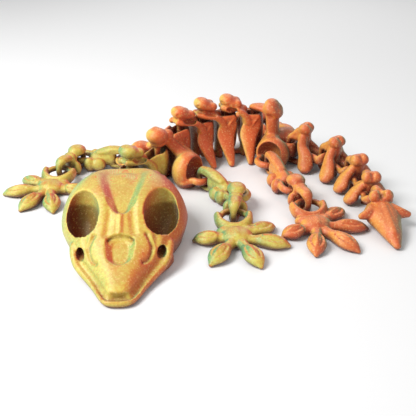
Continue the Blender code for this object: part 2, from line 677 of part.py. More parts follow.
def build_spine():
    """Skull, neck, girdles, trunk and tail, each from its post to the next one."""
    names = list(SPINE_POSTS)
    headings = {}
    for name, following in zip(names, names[1:]):
        start = Vector(SPINE_POSTS[name])
        gap = Vector(SPINE_POSTS[following]) - start
        headings[name] = math.degrees(math.atan2(gap.y, gap.x))
        material = finish(name + "_finish", HEAD_COLOUR if name == "neck" else BONE_COLOUR)
        before = names[names.index(name) - 1] if name != "neck" else "skull"
        if name == "shoulder_girdle":
            piece = shoulder_girdle(material, gap.length)
        elif name == "pelvis":
            piece = pelvis(material, gap.length)
        elif name.startswith("tail"):
            piece = tail_piece(name, before, gap.length, material)
        else:
            piece = vertebra(name, before, gap.length, material)
        if name == "neck":
            set_down(piece, SPINE_POSTS[following], headings[name], own_post=gap.length)
        else:
            set_down(piece, start, headings[name])
    set_down(tail_tip(finish("tail_tip_finish", BONE_COLOUR)), SPINE_POSTS["tail_tip"], TAIL_TIP_HEADING)
    set_down(skull(finish("skull_finish", HEAD_COLOUR)), SPINE_POSTS["neck"], SKULL_HEADING)
    return headings


def build_limb(name, start, lengths, mirror):
    """Upper link, lower link and foot, from the girdle's post outwards."""
    colour = HEAD_COLOUR if "front" in name else BONE_COLOUR
    upper, lower, last = LIMB_HEADINGS[name]
    elbow = step_from(start, upper, lengths[0])
    ankle = step_from(elbow, lower, lengths[1])
    links = (("upper", start, upper, upper_link, (lengths[0],)),
             ("lower", elbow, lower, lower_link, (lengths[1],)),
             ("foot", ankle, last, foot, (TOES[name], mirror)))
    for part, post, heading, make, sizes in links:
        piece_name = f"{name}_{part}"
        set_down(make(piece_name, *sizes, finish(piece_name + "_finish", colour)), post, heading)


def main():
    """Build every piece of the toy."""
    clear_scene()
    headings = build_spine()
    for name, side in (("left", -1), ("right", 1)):
        shoulder = from_girdle(SPINE_POSTS["shoulder_girdle"], headings["shoulder_girdle"],
                               SHOULDER_POST, side)
        hip = from_girdle(SPINE_POSTS["pelvis"], headings["pelvis"], HIP_POST, side)
        build_limb(name + "_front", shoulder, FRONT_LINKS, -side)
        build_limb(name + "_hind", hip, HIND_LINKS, -side)


main()
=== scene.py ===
"""Dressed model of a print-in-place gecko skeleton toy, bone linked through bone.

Sizes are in millimetres until a piece is set down in metres. Each bone is modelled
lengthwise along +X from its own front post, with +Y to its left, standing on Z = 0.
"""

import json
import logging
import math
from collections.abc import Sequence
from dataclasses import dataclass, field
from enum import Enum

import bmesh
import bpy
import numpy as np
from mathutils import Matrix, Vector

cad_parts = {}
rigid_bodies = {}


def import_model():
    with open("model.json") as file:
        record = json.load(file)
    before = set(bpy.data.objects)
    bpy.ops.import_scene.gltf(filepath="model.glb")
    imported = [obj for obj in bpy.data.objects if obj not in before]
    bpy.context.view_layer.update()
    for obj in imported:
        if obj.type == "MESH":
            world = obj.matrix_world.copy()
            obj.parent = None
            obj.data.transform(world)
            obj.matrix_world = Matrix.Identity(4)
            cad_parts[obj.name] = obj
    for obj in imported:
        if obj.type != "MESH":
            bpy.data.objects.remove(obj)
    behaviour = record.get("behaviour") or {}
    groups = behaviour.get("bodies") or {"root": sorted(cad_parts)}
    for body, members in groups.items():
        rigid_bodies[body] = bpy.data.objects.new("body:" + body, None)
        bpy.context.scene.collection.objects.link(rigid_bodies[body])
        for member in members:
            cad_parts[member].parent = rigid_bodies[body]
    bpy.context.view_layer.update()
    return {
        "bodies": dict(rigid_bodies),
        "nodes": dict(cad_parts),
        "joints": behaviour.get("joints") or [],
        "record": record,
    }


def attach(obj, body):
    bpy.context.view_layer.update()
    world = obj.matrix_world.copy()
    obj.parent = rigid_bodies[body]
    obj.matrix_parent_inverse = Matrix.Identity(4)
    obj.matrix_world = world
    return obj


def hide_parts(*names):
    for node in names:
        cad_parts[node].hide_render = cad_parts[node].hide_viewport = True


MM = 0.001
CENTRE = (-5.49, 25.01)
X_AXIS = Vector((1.0, 0.0, 0.0))
Y_AXIS = Vector((0.0, 1.0, 0.0))
Z_AXIS = Vector((0.0, 0.0, 1.0))
BOTH_SIDES = (1, -1)
ROUND_END = ((0.97, 0.24), (0.80, 0.60), (0.45, 0.89))

Row = tuple[float, ...]
Colour = tuple[int, int, int]
Stops = tuple[tuple[float, Colour], ...]

LOG = logging.getLogger("gecko_toy")


def linear(colour: Sequence[float]) -> tuple[float, float, float, float]:
    """Turn a colour seen on a screen into the shader's linear light.

    Args:
        colour: Red, green and blue from 0 to 255.

    Returns:
        Linear red, green, blue and an alpha of one.
    """
    parts = [c / 255.0 for c in colour]
    curve = [c / 12.92 if c <= 0.04045 else ((c + 0.055) / 1.055) ** 2.4 for c in parts]
    return (curve[0], curve[1], curve[2], 1.0)


def smooth_rows(rows: Sequence[Sequence[float]], steps: int) -> list[Vector]:
    """Fill the gaps between rows of numbers with a smooth curve through them.

    Args:
        rows: Points or sizes, in order.
        steps: How many stretches each gap is cut into.

    Returns:
        The rows with the new ones between them.
    """
    out: list[Vector] = []
    for i in range(len(rows) - 1):
        before, start = Vector(rows[max(i - 1, 0)]), Vector(rows[i])
        end, after = Vector(rows[i + 1]), Vector(rows[min(i + 2, len(rows) - 1)])
        for step in range(steps):
            t = step / steps
            out.append(0.5 * (2 * start + (end - before) * t
                              + (2 * before - 5 * start + 4 * end - after) * t * t
                              + (3 * start - before - 3 * end + after) * t ** 3))
    out.append(Vector(rows[-1]))
    return out


def around(centre: Sequence[float], radius: float, angle: float, height: float) -> Row:
    """A point at a height, a distance and a heading in degrees from an upright axis."""
    turn = math.radians(angle)
    return (centre[0] + radius * math.cos(turn), centre[1] + radius * math.sin(turn), height)


def as_object(name: str, form: bmesh.types.BMesh) -> bpy.types.Object:
    """Make a linked object of a bmesh, with its faces pointing out.

    Args:
        name: Name for the object and its mesh.
        form: The shape, which is freed.

    Returns:
        The new object.
    """
    bmesh.ops.recalc_face_normals(form, faces=form.faces)
    mesh = bpy.data.meshes.new(name)
    form.to_mesh(mesh)
    form.free()
    obj = bpy.data.objects.new(name, mesh)
    bpy.context.scene.collection.objects.link(obj)
    return obj


def settle(obj: bpy.types.Object) -> None:
    """Make an object's evaluated shape its own mesh and drop its modifiers.

    Args:
        obj: The object to settle.
    """
    evaluated = obj.evaluated_get(bpy.context.evaluated_depsgraph_get())
    mesh = bpy.data.meshes.new_from_object(evaluated)
    spent = obj.data
    obj.modifiers.clear()
    obj.data = mesh
    bpy.data.meshes.remove(spent)


@dataclass
class Clay:
    """Closed forms of one bone, gathered before they flow into one printed body."""

    solid: bmesh.types.BMesh = field(default_factory=bmesh.new)
    carver: bmesh.types.BMesh = field(default_factory=bmesh.new)
    late: bmesh.types.BMesh = field(default_factory=bmesh.new)
    sides: int = 18
    after_carving: bool = False

    def keep(self, form: bmesh.types.BMesh, carve: bool = False) -> None:
        """Add a finished form to the solid, to what is carved away, or to what is added last.

        Args:
            form: The closed form, which is freed.
            carve: True where it is taken away.
        """
        bmesh.ops.recalc_face_normals(form, faces=form.faces)
        mesh = bpy.data.meshes.new("form")
        form.to_mesh(mesh)
        form.free()
        heap = self.carver if carve else self.late if self.after_carving else self.solid
        heap.from_mesh(mesh)
        bpy.data.meshes.remove(mesh)

    def bar(self, points: Sequence[Row], sizes: Sequence[float | Row], across: Vector,
            steps: int = 5) -> None:
        """Add a rod with round ends that follows a smooth path.

        Args:
            points: The path's points.
            sizes: Half width along across and half height, or one radius, at each point.
            across: Direction in which the first of each pair of sizes is measured.
            steps: How finely each gap between points is cut.
        """
        path = smooth_rows(points, steps)
        pairs = [(s, s) if isinstance(s, (int, float)) else s for s in sizes]
        girths = smooth_rows(pairs, steps)
        last = len(path) - 1
        stations = [(path[i], girths[i], (path[min(i + 1, last)] - path[max(i - 1, 0)]).normalized())
                    for i in range(last + 1)]
        rings = [self._beyond(stations[0], -reach, share) for reach, share in ROUND_END]
        rings += stations
        rings += [self._beyond(stations[-1], reach, share) for reach, share in reversed(ROUND_END)]
        self.keep(self._loft([self._ring(*ring, across) for ring in rings]))

    @staticmethod
    def _beyond(station: tuple[Vector, Vector, Vector], reach: float,
                share: float) -> tuple[Vector, Vector, Vector]:
        """A smaller cross-section past one end of a rod: behind its start where reach is negative."""
        centre, girth, way = station
        return (centre + way * min(girth) * reach, girth * share, way)

    @staticmethod
    def _ring(centre: Vector, girth: Vector, way: Vector, across: Vector) -> Matrix:
        """Placing of one cross-section of a rod.

        Args:
            centre: Its middle.
            girth: Its two half sizes.
            way: The path's direction there.
            across: Direction of the first half size.

        Returns:
            The matrix that takes a unit circle to the cross-section.
        """
        wide = (across - way * way.dot(across)).normalized()
        frame = Matrix((wide * girth[0], way.cross(wide) * girth[1], way)).transposed().to_4x4()
        frame.translation = centre
        return frame

    def _loft(self, rings: Sequence[Matrix]) -> bmesh.types.BMesh:
        """Draw a circle out from ring to ring and close its ends.

        Args:
            rings: Placing of each cross-section.

        Returns:
            The closed form.
        """
        form = bmesh.new()
        bmesh.ops.create_circle(form, cap_ends=True, segments=self.sides, radius=1.0, matrix=rings[0])
        edges = list(form.edges)
        for near, far in zip(rings, rings[1:]):
            grown = bmesh.ops.extrude_edge_only(form, edges=edges)["geom"]
            verts = {g for g in grown if isinstance(g, bmesh.types.BMVert)}
            edges = [g for g in grown if isinstance(g, bmesh.types.BMEdge) and verts.issuperset(g.verts)]
            bmesh.ops.transform(form, matrix=far @ near.inverted(), verts=list(verts))
        bmesh.ops.edgeloop_fill(form, edges=edges)
        return form

    def blob(self, centre: Row, radii: Row, turn: float = 0.0, lean: float = 0.0,
             carve: bool = False) -> None:
        """Add an ellipsoid.

        Args:
            centre: Its middle.
            radii: Its half sizes along X, Y and Z before it is turned.
            turn: Degrees that it is turned about Z.
            lean: Degrees that it is first leaned about Y.
            carve: True where it is taken away.
        """
        form = bmesh.new()
        place = (Matrix.Translation(centre) @ Matrix.Rotation(math.radians(turn), 4, "Z")
                 @ Matrix.Rotation(math.radians(lean), 4, "Y") @ Matrix.Diagonal((*radii, 1.0)))
        bmesh.ops.create_icosphere(form, subdivisions=4, radius=1.0, matrix=place)
        self.keep(form, carve)

    def pair(self, centre: Row, radii: Row, turn: float = 0.0, lean: float = 0.0,
             carve: bool = False) -> None:
        """Add the same ellipsoid, given as the left one, on both sides of the bone's middle."""
        for side in BOTH_SIDES:
            self.blob((centre[0], side * centre[1], centre[2]), radii, side * turn, lean, carve)

    def twin(self, points: Sequence[Row], sizes: Sequence[float | Row], across: Vector) -> None:
        """Add the same rod, given as the left one, on both sides of the bone's middle."""
        for side in BOTH_SIDES:
            self.bar([(x, side * y, z) for x, y, z in points], sizes, across)

    def fuse(self, name: str, grain: float, passes: int) -> bpy.types.Object:
        """Flow the forms into one body, carve it and soften its joins.

        Args:
            name: The body's name.
            grain: Size of the finished surface's cells.
            passes: How often the surface is softened.

        Returns:
            The body, in millimetres.
        """
        carved = bool(self.carver.verts)
        body = as_object(name, self.solid)
        self._flow(body, grain, 1 if carved else passes)
        if carved:
            cutter = as_object("carver", self.carver)
            self._flow(cutter, grain, 1)
            cut = body.modifiers.new("carve", "BOOLEAN")
            cut.operation = "DIFFERENCE"
            cut.solver = "MANIFOLD"
            cut.object = cutter
            settle(body)
            bpy.data.objects.remove(cutter)
            self.late.from_mesh(body.data)
            self.late.to_mesh(body.data)
            self._flow(body, grain, passes)
        else:
            self.carver.free()
        self.late.free()
        return body

    @staticmethod
    def _flow(obj: bpy.types.Object, grain: float, passes: int) -> None:
        """Remesh an object evenly and soften it.

        Args:
            obj: The object.
            grain: Size of its cells.
            passes: How often it is softened.
        """
        remesh = obj.modifiers.new("flow", "REMESH")
        remesh.mode = "VOXEL"
        remesh.voxel_size = grain
        soften = obj.modifiers.new("soften", "SMOOTH")
        soften.factor = 0.5
        soften.iterations = passes
        settle(obj)


@dataclass
class Sculptor:
    """Hand work on a fused body: pressed creases, raised ridges and a flat sole."""

    body: bpy.types.Object
    path_steps: int = 6
    flat_gain: float = 1.8

    def _points(self) -> tuple[np.ndarray, np.ndarray]:
        """Read the body's points.

        Returns:
            Their positions and their outward directions, one row each.
        """
        mesh = self.body.data
        count = len(mesh.vertices)
        spots = np.empty(count * 3, np.float32)
        facing = np.empty(count * 3, np.float32)
        mesh.vertices.foreach_get("co", spots)
        mesh.vertices.foreach_get("normal", facing)
        return spots.reshape(-1, 3), facing.reshape(-1, 3)

    def _put(self, spots: np.ndarray) -> None:
        """Write positions back to the body."""
        self.body.data.vertices.foreach_set("co", spots.astype(np.float32).ravel())
        self.body.data.update()

    def press(self, path: Sequence[Row], width: float | Row, depth: float, flat: bool = False) -> None:
        """Press a crease along a path, or raise a ridge where depth is negative.

        Args:
            path: The crease's points.
            width: Half its width at the surface, or one half width for each point.
            depth: How deep it is in the middle.
            flat: True where the crease has a flat bottom.
        """
        spots, facing = self._points()
        widths = [width] * len(path) if isinstance(width, (int, float)) else list(width)
        line = smooth_rows([(*point, half) for point, half in zip(path, widths)], self.path_steps)
        share = np.zeros(len(spots))
        for start, end in zip(line, line[1:]):
            a, b = np.array(start[:3]), np.array(end[:3]) - np.array(start[:3])
            along = np.clip(((spots - a) @ b) / max(float(b @ b), 1e-9), 0.0, 1.0)
            gap = np.linalg.norm(spots - a - along[:, None] * b, axis=1)
            half = start[3] + (end[3] - start[3]) * along
            share = np.maximum(share, 1.0 - gap / half)
        share = np.clip(share * self.flat_gain, 0.0, 1.0) if flat else share
        share = share * share * (3.0 - 2.0 * share)
        self._put(spots - facing * (share * depth)[:, None])

    def press_both(self, path: Sequence[Row], width: float | Row, depth: float, flat: bool = False) -> None:
        """Press the same crease, given as the left one, on both sides of the body's middle."""
        for side in BOTH_SIDES:
            self.press([(x, side * y, z) for x, y, z in path], width, depth, flat)

    def stand(self) -> None:
        """Flatten whatever reaches below the print bed."""
        spots, _ = self._points()
        spots[:, 2] = np.maximum(spots[:, 2], 0.0)
        self._put(spots)

    def mark_edges(self, spread: int = 14, full: float = 0.30) -> None:
        """Note how far each point stands out from its surroundings, for the finish.

        Args:
            spread: How many rings of neighbours count as surroundings.
            full: Standing out by this much counts as one.
        """
        mesh = self.body.data
        pairs = np.empty(len(mesh.edges) * 2, np.int32)
        mesh.edges.foreach_get("vertices", pairs)
        pairs = pairs.reshape(-1, 2)
        spots, facing = self._points()
        number = np.bincount(pairs.ravel(), minlength=len(spots)).astype(np.float64)
        level = spots.astype(np.float64)
        for _ in range(spread):
            near = np.empty_like(level)
            for axis in range(3):
                near[:, axis] = (np.bincount(pairs[:, 0], level[pairs[:, 1], axis], len(spots))
                                 + np.bincount(pairs[:, 1], level[pairs[:, 0], axis], len(spots)))
            level = 0.5 * level + 0.5 * near / np.maximum(number, 1.0)[:, None]
        proud = ((spots - level) * facing).sum(axis=1) / full
        layer = mesh.attributes.new("edge", "FLOAT", "POINT")
        layer.data.foreach_set("value", np.clip(proud, -1.0, 1.0).astype(np.float32))


class Strand(Enum):
    """Which way the three-colour strand was turned while a part of the toy printed.

    Each value lists the colours of upright faces, by the heading that they face as a
    share of a full turn counter-clockwise from +X.
    """

    HEAD: Stops = (
        (0.00, (214, 72, 32)), (0.14, (172, 54, 30)), (0.30, (112, 128, 80)), (0.44, (104, 176, 124)),
        (0.54, (164, 192, 104)), (0.66, (224, 214, 100)), (0.80, (230, 200, 84)), (0.90, (224, 126, 52)),
        (1.00, (214, 72, 32)),
    )
    CHEST: Stops = (
        (0.00, (202, 88, 42)), (0.20, (138, 120, 64)), (0.38, (200, 180, 98)), (0.50, (238, 220, 118)),
        (0.62, (250, 200, 92)), (0.74, (242, 124, 56)), (0.86, (224, 96, 46)), (1.00, (202, 88, 42)),
    )
    TAIL: Stops = (
        (0.00, (128, 150, 100)), (0.10, (112, 168, 122)), (0.26, (120, 96, 60)), (0.42, (196, 140, 58)),
        (0.54, (248, 184, 84)), (0.66, (232, 126, 62)), (0.80, (208, 96, 52)), (0.92, (162, 106, 70)),
        (1.00, (128, 150, 100)),
    )


class Nodes:
    """A material's shader nodes, added and linked by short calls."""

    def __init__(self, name: str) -> None:
        """Start a material.

        Args:
            name: Its name.
        """
        self.material = bpy.data.materials.new(name)
        self.material.use_nodes = True
        self.tree = self.material.node_tree
        self.shader = self.tree.nodes["Principled BSDF"]

    def add(self, kind: str, **settings: object) -> bpy.types.Node:
        """Add a node.

        Args:
            kind: Its type without the ShaderNode prefix.
            **settings: Properties to set on it.

        Returns:
            The node.
        """
        node = self.tree.nodes.new("ShaderNode" + kind)
        for key, value in settings.items():
            setattr(node, key, value)
        return node

    def feed(self, socket: bpy.types.NodeSocket, value: object) -> None:
        """Link a socket to another, or set its own value.

        Args:
            socket: The input.
            value: An output socket, a number or a colour.
        """
        if isinstance(value, bpy.types.NodeSocket):
            self.tree.links.new(value, socket)
        else:
            socket.default_value = value

    def sum(self, operation: str, *values: object) -> bpy.types.NodeSocket:
        """Do arithmetic on numbers.

        Args:
            operation: Name of the Math node's operation.
            *values: Its inputs.

        Returns:
            The result's socket.
        """
        node = self.add("Math", operation=operation)
        for socket, value in zip(node.inputs, values):
            self.feed(socket, value)
        return node.outputs[0]

    def fade(self, value: object, low: float, high: float) -> bpy.types.NodeSocket:
        """Rise smoothly from nought at low to one at high.

        Args:
            value: The number that is read.
            low: Where the rise starts.
            high: Where it ends.

        Returns:
            The faded number's socket.
        """
        node = self.add("MapRange", interpolation_type="SMOOTHSTEP")
        for socket, number in zip(node.inputs, (value, low, high, 0.0, 1.0)):
            self.feed(socket, number)
        return node.outputs[0]

    def mix(self, share: object, base: object, over: object, blend: str = "MIX") -> bpy.types.NodeSocket:
        """Mix two colours.

        Args:
            share: How much of the second colour shows.
            base: The first colour.
            over: The second colour.
            blend: Name of the blending mode.

        Returns:
            The mixed colour's socket.
        """
        node = self.add("Mix", data_type="RGBA", blend_type=blend)
        self.feed(node.inputs[0], share)
        self.feed(node.inputs[6], base)
        self.feed(node.inputs[7], over)
        return node.outputs[2]

    def tint(self, base: object, cover: object, most: float, over: Colour,
             blend: str = "MIX") -> bpy.types.NodeSocket:
        """Lay a colour over another where a cover says, by a given share at most."""
        return self.mix(self.sum("MULTIPLY", cover, most), base, linear(over), blend)

    def noise(self, where: object, scale: float, detail: float = 2.0) -> bpy.types.NodeSocket:
        """Smooth noise between nought and one.

        Args:
            where: Coordinates.
            scale: Cells per metre.
            detail: How many finer layers it has.

        Returns:
            The noise's socket.
        """
        node = self.add("TexNoise")
        self.feed(node.inputs["Vector"], where)
        self.feed(node.inputs["Scale"], scale)
        self.feed(node.inputs["Detail"], detail)
        return node.outputs[0]


@dataclass(frozen=True)
class Speckle:
    """Fine spots over a finish: noise cells per metre, where it sets in, and what it lays on."""

    scale: float
    finer: float
    low: float
    high: float
    share: float
    colour: Colour
    blend: str = "MIX"


@dataclass(frozen=True)
class SilkPrint:
    """Silk plastic laid in fine layers, whose colour turns with the way a face looks, with painted shade in
    creases and hollows, painted glints, and painted highlights on the tail's edges.
    """

    name: str
    strand: Strand
    turn: float = 0.0
    top: Colour = (206, 192, 92)
    fleck: Colour = (222, 102, 48)
    # Colour of raised edges: a red-orange line where the print's layers turn, and on the tail a lighter
    # painted highlight.
    edge_line_and_highlight: Colour = (224, 82, 28)
    edge_line_and_highlight_share: float = 0.7
    # Painted shade: creases and sunken spots are darkened towards this brown.
    groove: Colour = (120, 58, 30)
    crease_shade_share: float = 0.45
    shadow: Colour = (128, 58, 36)
    shadow_share: float = 0.96
    layer: float = 0.2
    layer_relief: float = 0.00006
    layer_drift: float = 0.8
    hollow: float = 0.011
    roughness: float = 0.40
    specular: float = 0.6
    sheen: float = 0.12
    relief_strength: float = 0.55
    patch_scale: float = 190.0
    patch: Row = (0.50, 0.72)
    patch_share: float = 0.45
    ring: Row = (0.55, 0.95)
    ring_share: float = 0.75
    blotch_scale: float = 70.0
    grain_scale: float = 1500.0
    level: Row = (0.83, 0.99)
    proud: Row = (0.35, 1.0)
    shaded: Row = (0.22, 0.85)
    border_bend: float = 0.22
    border_speck: float = 0.10
    specks_and_painted_glints: tuple[Speckle, ...] = (
        # Darker flecks: the silk's own grain.
        Speckle(950.0, 2.0, 0.36, 0.66, 0.48, (246, 190, 146), "MULTIPLY"),
        # Light specks: painted glints, a painted highlight of the silk's sheen.
        Speckle(1250.0, 1.0, 0.56, 0.76, 0.42, (255, 222, 150)),
    )

    def material(self) -> bpy.types.Material:
        """Build the finish.

        Returns:
            The material.
        """
        nodes = Nodes(self.name)
        place = nodes.add("TexCoord")
        spot = place.outputs["Object"]
        facing = nodes.add("SeparateXYZ")
        nodes.feed(facing.inputs[0], place.outputs["Normal"])
        height = nodes.add("SeparateXYZ")
        nodes.feed(height.inputs[0], spot)
        broad = nodes.noise(spot, self.blotch_scale)
        grain = nodes.noise(spot, self.grain_scale, 1.0)
        side = self._side_colour(nodes, facing, broad, grain)
        flat = nodes.fade(facing.outputs[2], *self.level)
        layers = nodes.sum("DIVIDE", height.outputs[2], self.layer * MM)
        drift = nodes.sum("MULTIPLY", broad, self.layer_drift)
        step = nodes.sum("FRACT", nodes.sum("ADD", layers, drift))
        colour = nodes.mix(flat, side, self._top_colour(nodes, spot, step))
        edge = nodes.add("Attribute", attribute_name="edge").outputs["Fac"]
        # Raised edges take the edge colour: the print's red-orange line, and on the tail a painted highlight.
        colour = nodes.tint(colour, nodes.fade(edge, *self.proud), self.edge_line_and_highlight_share, self.edge_line_and_highlight)
        # Painted shade: sunken spots and creases darken towards the groove brown, standing in for the shade
        # that falls in them.
        painted_crease_shade = nodes.fade(nodes.sum("MULTIPLY", edge, -1.0), *self.proud)
        colour = nodes.tint(colour, painted_crease_shade, self.crease_shade_share, self.groove)
        shade = nodes.add("AmbientOcclusion", samples=8)
        shade.inputs["Distance"].default_value = self.hollow
        deep = nodes.fade(nodes.sum("SUBTRACT", 1.0, shade.outputs["AO"]), *self.shaded)
        colour = nodes.tint(colour, deep, self.shadow_share, self.shadow, "MULTIPLY")
        # Lays the grain flecks, then the painted glints.
        for speckle in self.specks_and_painted_glints:
            spots = nodes.fade(nodes.noise(spot, speckle.scale, speckle.finer), speckle.low, speckle.high)
            colour = nodes.tint(colour, spots, speckle.share, speckle.colour, speckle.blend)
        nodes.feed(nodes.shader.inputs["Base Color"], colour)
        self._surface(nodes, step, grain, flat)
        return nodes.material

    def _side_colour(self, nodes: Nodes, facing: bpy.types.Node, broad: bpy.types.NodeSocket,
                     grain: bpy.types.NodeSocket) -> bpy.types.NodeSocket:
        """Colour of upright faces, by the heading that they face.

        Args:
            nodes: The material's nodes.
            facing: The face's direction, split.
            broad: Slow noise that bends the colour borders.
            grain: Fine noise that speckles them.

        Returns:
            The colour's socket.
        """
        heading = nodes.sum("ARCTAN2", facing.outputs[1], facing.outputs[0])
        share = nodes.sum("DIVIDE", heading, math.tau)
        bend = nodes.sum("MULTIPLY", nodes.sum("SUBTRACT", broad, 0.5), self.border_bend)
        speck = nodes.sum("MULTIPLY", nodes.sum("SUBTRACT", grain, 0.5), self.border_speck)
        bent = nodes.sum("ADD", share, bend)
        turned = nodes.sum("ADD", speck, 2.0 + self.turn / 360.0)
        ramp = nodes.add("ValToRGB")
        stops = self.strand.value
        for end, (position, colour) in zip(ramp.color_ramp.elements, (stops[0], stops[-1])):
            end.position = position
            end.color = linear(colour)
        for position, colour in stops[1:-1]:
            ramp.color_ramp.elements.new(position).color = linear(colour)
        nodes.feed(ramp.inputs[0], nodes.sum("FRACT", nodes.sum("ADD", bent, turned)))
        return ramp.outputs[0]

    def _top_colour(self, nodes: Nodes, spot: bpy.types.NodeSocket,
                    step: bpy.types.NodeSocket) -> bpy.types.NodeSocket:
        """Colour of level faces, with the rings of the layers that end there.

        Args:
            nodes: The material's nodes.
            spot: Coordinates.
            step: How far through its layer a point is.

        Returns:
            The colour's socket.
        """
        patch = nodes.fade(nodes.noise(spot, self.patch_scale, 3.0), *self.patch)
        ring = nodes.sum("MULTIPLY", nodes.fade(step, *self.ring), self.ring_share)
        share = nodes.sum("MAXIMUM", nodes.sum("MULTIPLY", patch, self.patch_share), ring)
        return nodes.mix(share, linear(self.top), linear(self.fleck))

    def _surface(self, nodes: Nodes, step: bpy.types.NodeSocket, grain: bpy.types.NodeSocket,
                 flat: bpy.types.NodeSocket) -> None:
        """Gloss and the relief of the layers.

        Args:
            nodes: The material's nodes.
            step: How far through its layer a point is.
            grain: Fine noise.
            flat: One on level faces and nought on upright ones; not used.
        """
        shader = nodes.shader
        rough = nodes.sum("MULTIPLY_ADD", grain, 0.16, self.roughness - 0.08)
        nodes.feed(shader.inputs["Roughness"], rough)
        shader.inputs["Specular IOR Level"].default_value = self.specular
        shader.inputs["Sheen Weight"].default_value = self.sheen
        ridge = nodes.sum("SINE", nodes.sum("MULTIPLY", step, math.pi))
        relief = nodes.sum("MULTIPLY_ADD", grain, 0.5, ridge)
        bump = nodes.add("Bump")
        bump.inputs["Strength"].default_value = self.relief_strength
        bump.inputs["Distance"].default_value = self.layer_relief
        nodes.feed(bump.inputs["Height"], relief)
        nodes.feed(shader.inputs["Normal"], bump.outputs[0])


@dataclass(frozen=True)
class Stand:
    """Where a bone's front post stands and which way the bone runs from it."""

    post: tuple[float, float]
    heading: float

    def matrix(self) -> Matrix:
        """Placing that takes the bone from millimetres to its place in metres."""
        spot = ((self.post[0] - CENTRE[0]) * MM, (self.post[1] - CENTRE[1]) * MM, 0.0)
        return (Matrix.Translation(spot) @ Matrix.Rotation(math.radians(self.heading), 4, "Z")
                @ Matrix.Scale(MM, 4))

    def beside(self, along: float, left: float = 0.0) -> tuple[float, float]:
        """The point on the floor plan some way along the bone and to its left."""
        turn = math.radians(self.heading)
        return (self.post[0] + along * math.cos(turn) - left * math.sin(turn),
                self.post[1] + along * math.sin(turn) + left * math.cos(turn))


@dataclass
class Bone:
    """One printed piece: its name, place, finish and print slot."""

    name: str
    stand: Stand
    finish: SilkPrint
    slot: str
    grain: float = 0.36
    passes: int = 7
    loop_floor: float = 4.3

    def shape(self, clay: Clay) -> None:
        """Lay down the bone's forms in the clay."""
        raise NotImplementedError

    def detail(self, hand: Sculptor) -> None:
        """Work the fused surface with the sculptor's hand; some bones need nothing here."""

    def build(self) -> bpy.types.Object:
        """Model the bone, set it down in its place and give it its finish.

        Returns:
            The finished piece.
        """
        clay = Clay()
        self.shape(clay)
        body = clay.fuse(self.name + "_print", self.grain, self.passes)
        hand = Sculptor(body)
        self.detail(hand)
        hand.stand()
        hand.mark_edges()
        body.data.transform(self.stand.matrix())
        body.data.shade_smooth()
        body.data.materials.clear()
        body.data.materials.append(self.finish.material())
        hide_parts(self.name)
        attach(body, self.name)
        LOG.info("%s: %d faces", self.name, len(body.data.polygons))
        return body

    def ring(self, clay: Clay, post: float, root: float, arch: float, thick: float, width: float) -> None:
        """The ring that links this bone: over the neighbour's loop, down its post and back.

        Args:
            clay: What the ring is added to.
            post: Where the post stands.
            root: Where the ring meets the bone.
            arch: Middle height of its top.
            thick: Radius of the post.
            width: Half width of its top.
        """
        way = 1 if root > post else -1
        reach = abs(root - post)
        rows = ((reach, arch - 0.6), (reach * 0.55, arch + 0.4), (1.5, arch - 0.1), (0, arch - 2.6),
                (0, 4.0), (1.3, 1.9), (reach * 0.5, 1.5), (reach, 1.9))
        points = [(post + way * along, 0.0, high) for along, high in rows]
        top, sole = (width, 1.9), (width * 0.85, 1.4)
        clay.bar(points, (top, top, (width * 0.9, 1.9), (thick, thick), (thick, thick), (thick, thick),
                          sole, sole), Y_AXIS, 4)

    def ear(self, clay: Clay, post: float, root: float, tops: Row, radius: float, thick: float) -> None:
        """The tall loop behind a spine bone, a wall bent round the next bone's post.

        Args:
            clay: What the loop is added to.
            post: Where the next post stands.
            root: Where the wall starts.
            tops: Height of the wall at its root, at its sides and behind the post.
            radius: Middle radius of the bend.
            thick: Half thickness of the wall.
        """
        low, side, back = tops
        rows = [(root, radius * 0.7, low)]
        bend = ((128, side), (90, side), (45, back), (0, back), (-45, back), (-90, side), (-128, side))
        rows += [around((post, 0.0), radius, angle, high) for angle, high in bend]
        rows.append((root, -radius * 0.7, low))
        floor = self.loop_floor
        clay.bar([(x, y, (floor + high) / 2) for x, y, high in rows],
                 [((high - floor) / 2, thick) for _, _, high in rows], Z_AXIS, 4)

    @staticmethod
    def handle(clay: Clay, post: Row, out: float, radius: float, thick: float, roots: Sequence[Row],
               height: float = 5.2) -> None:
        """A round bar bent level round a post, for a limb to hang from.

        Args:
            clay: What the bar is added to.
            post: Where the post stands.
            out: Heading in which the bend faces.
            radius: Middle radius of the bend.
            thick: The bar's radius.
            roots: Where the bar starts and ends.
            height: Height of the bar's middle.
        """
        bend = [around(post, radius, out + angle, height) for angle in (105, 70, 35, 0, -35, -70, -105)]
        rows = [roots[0], *bend, roots[1]]
        clay.bar(rows, [thick] * len(rows), Z_AXIS, 4)


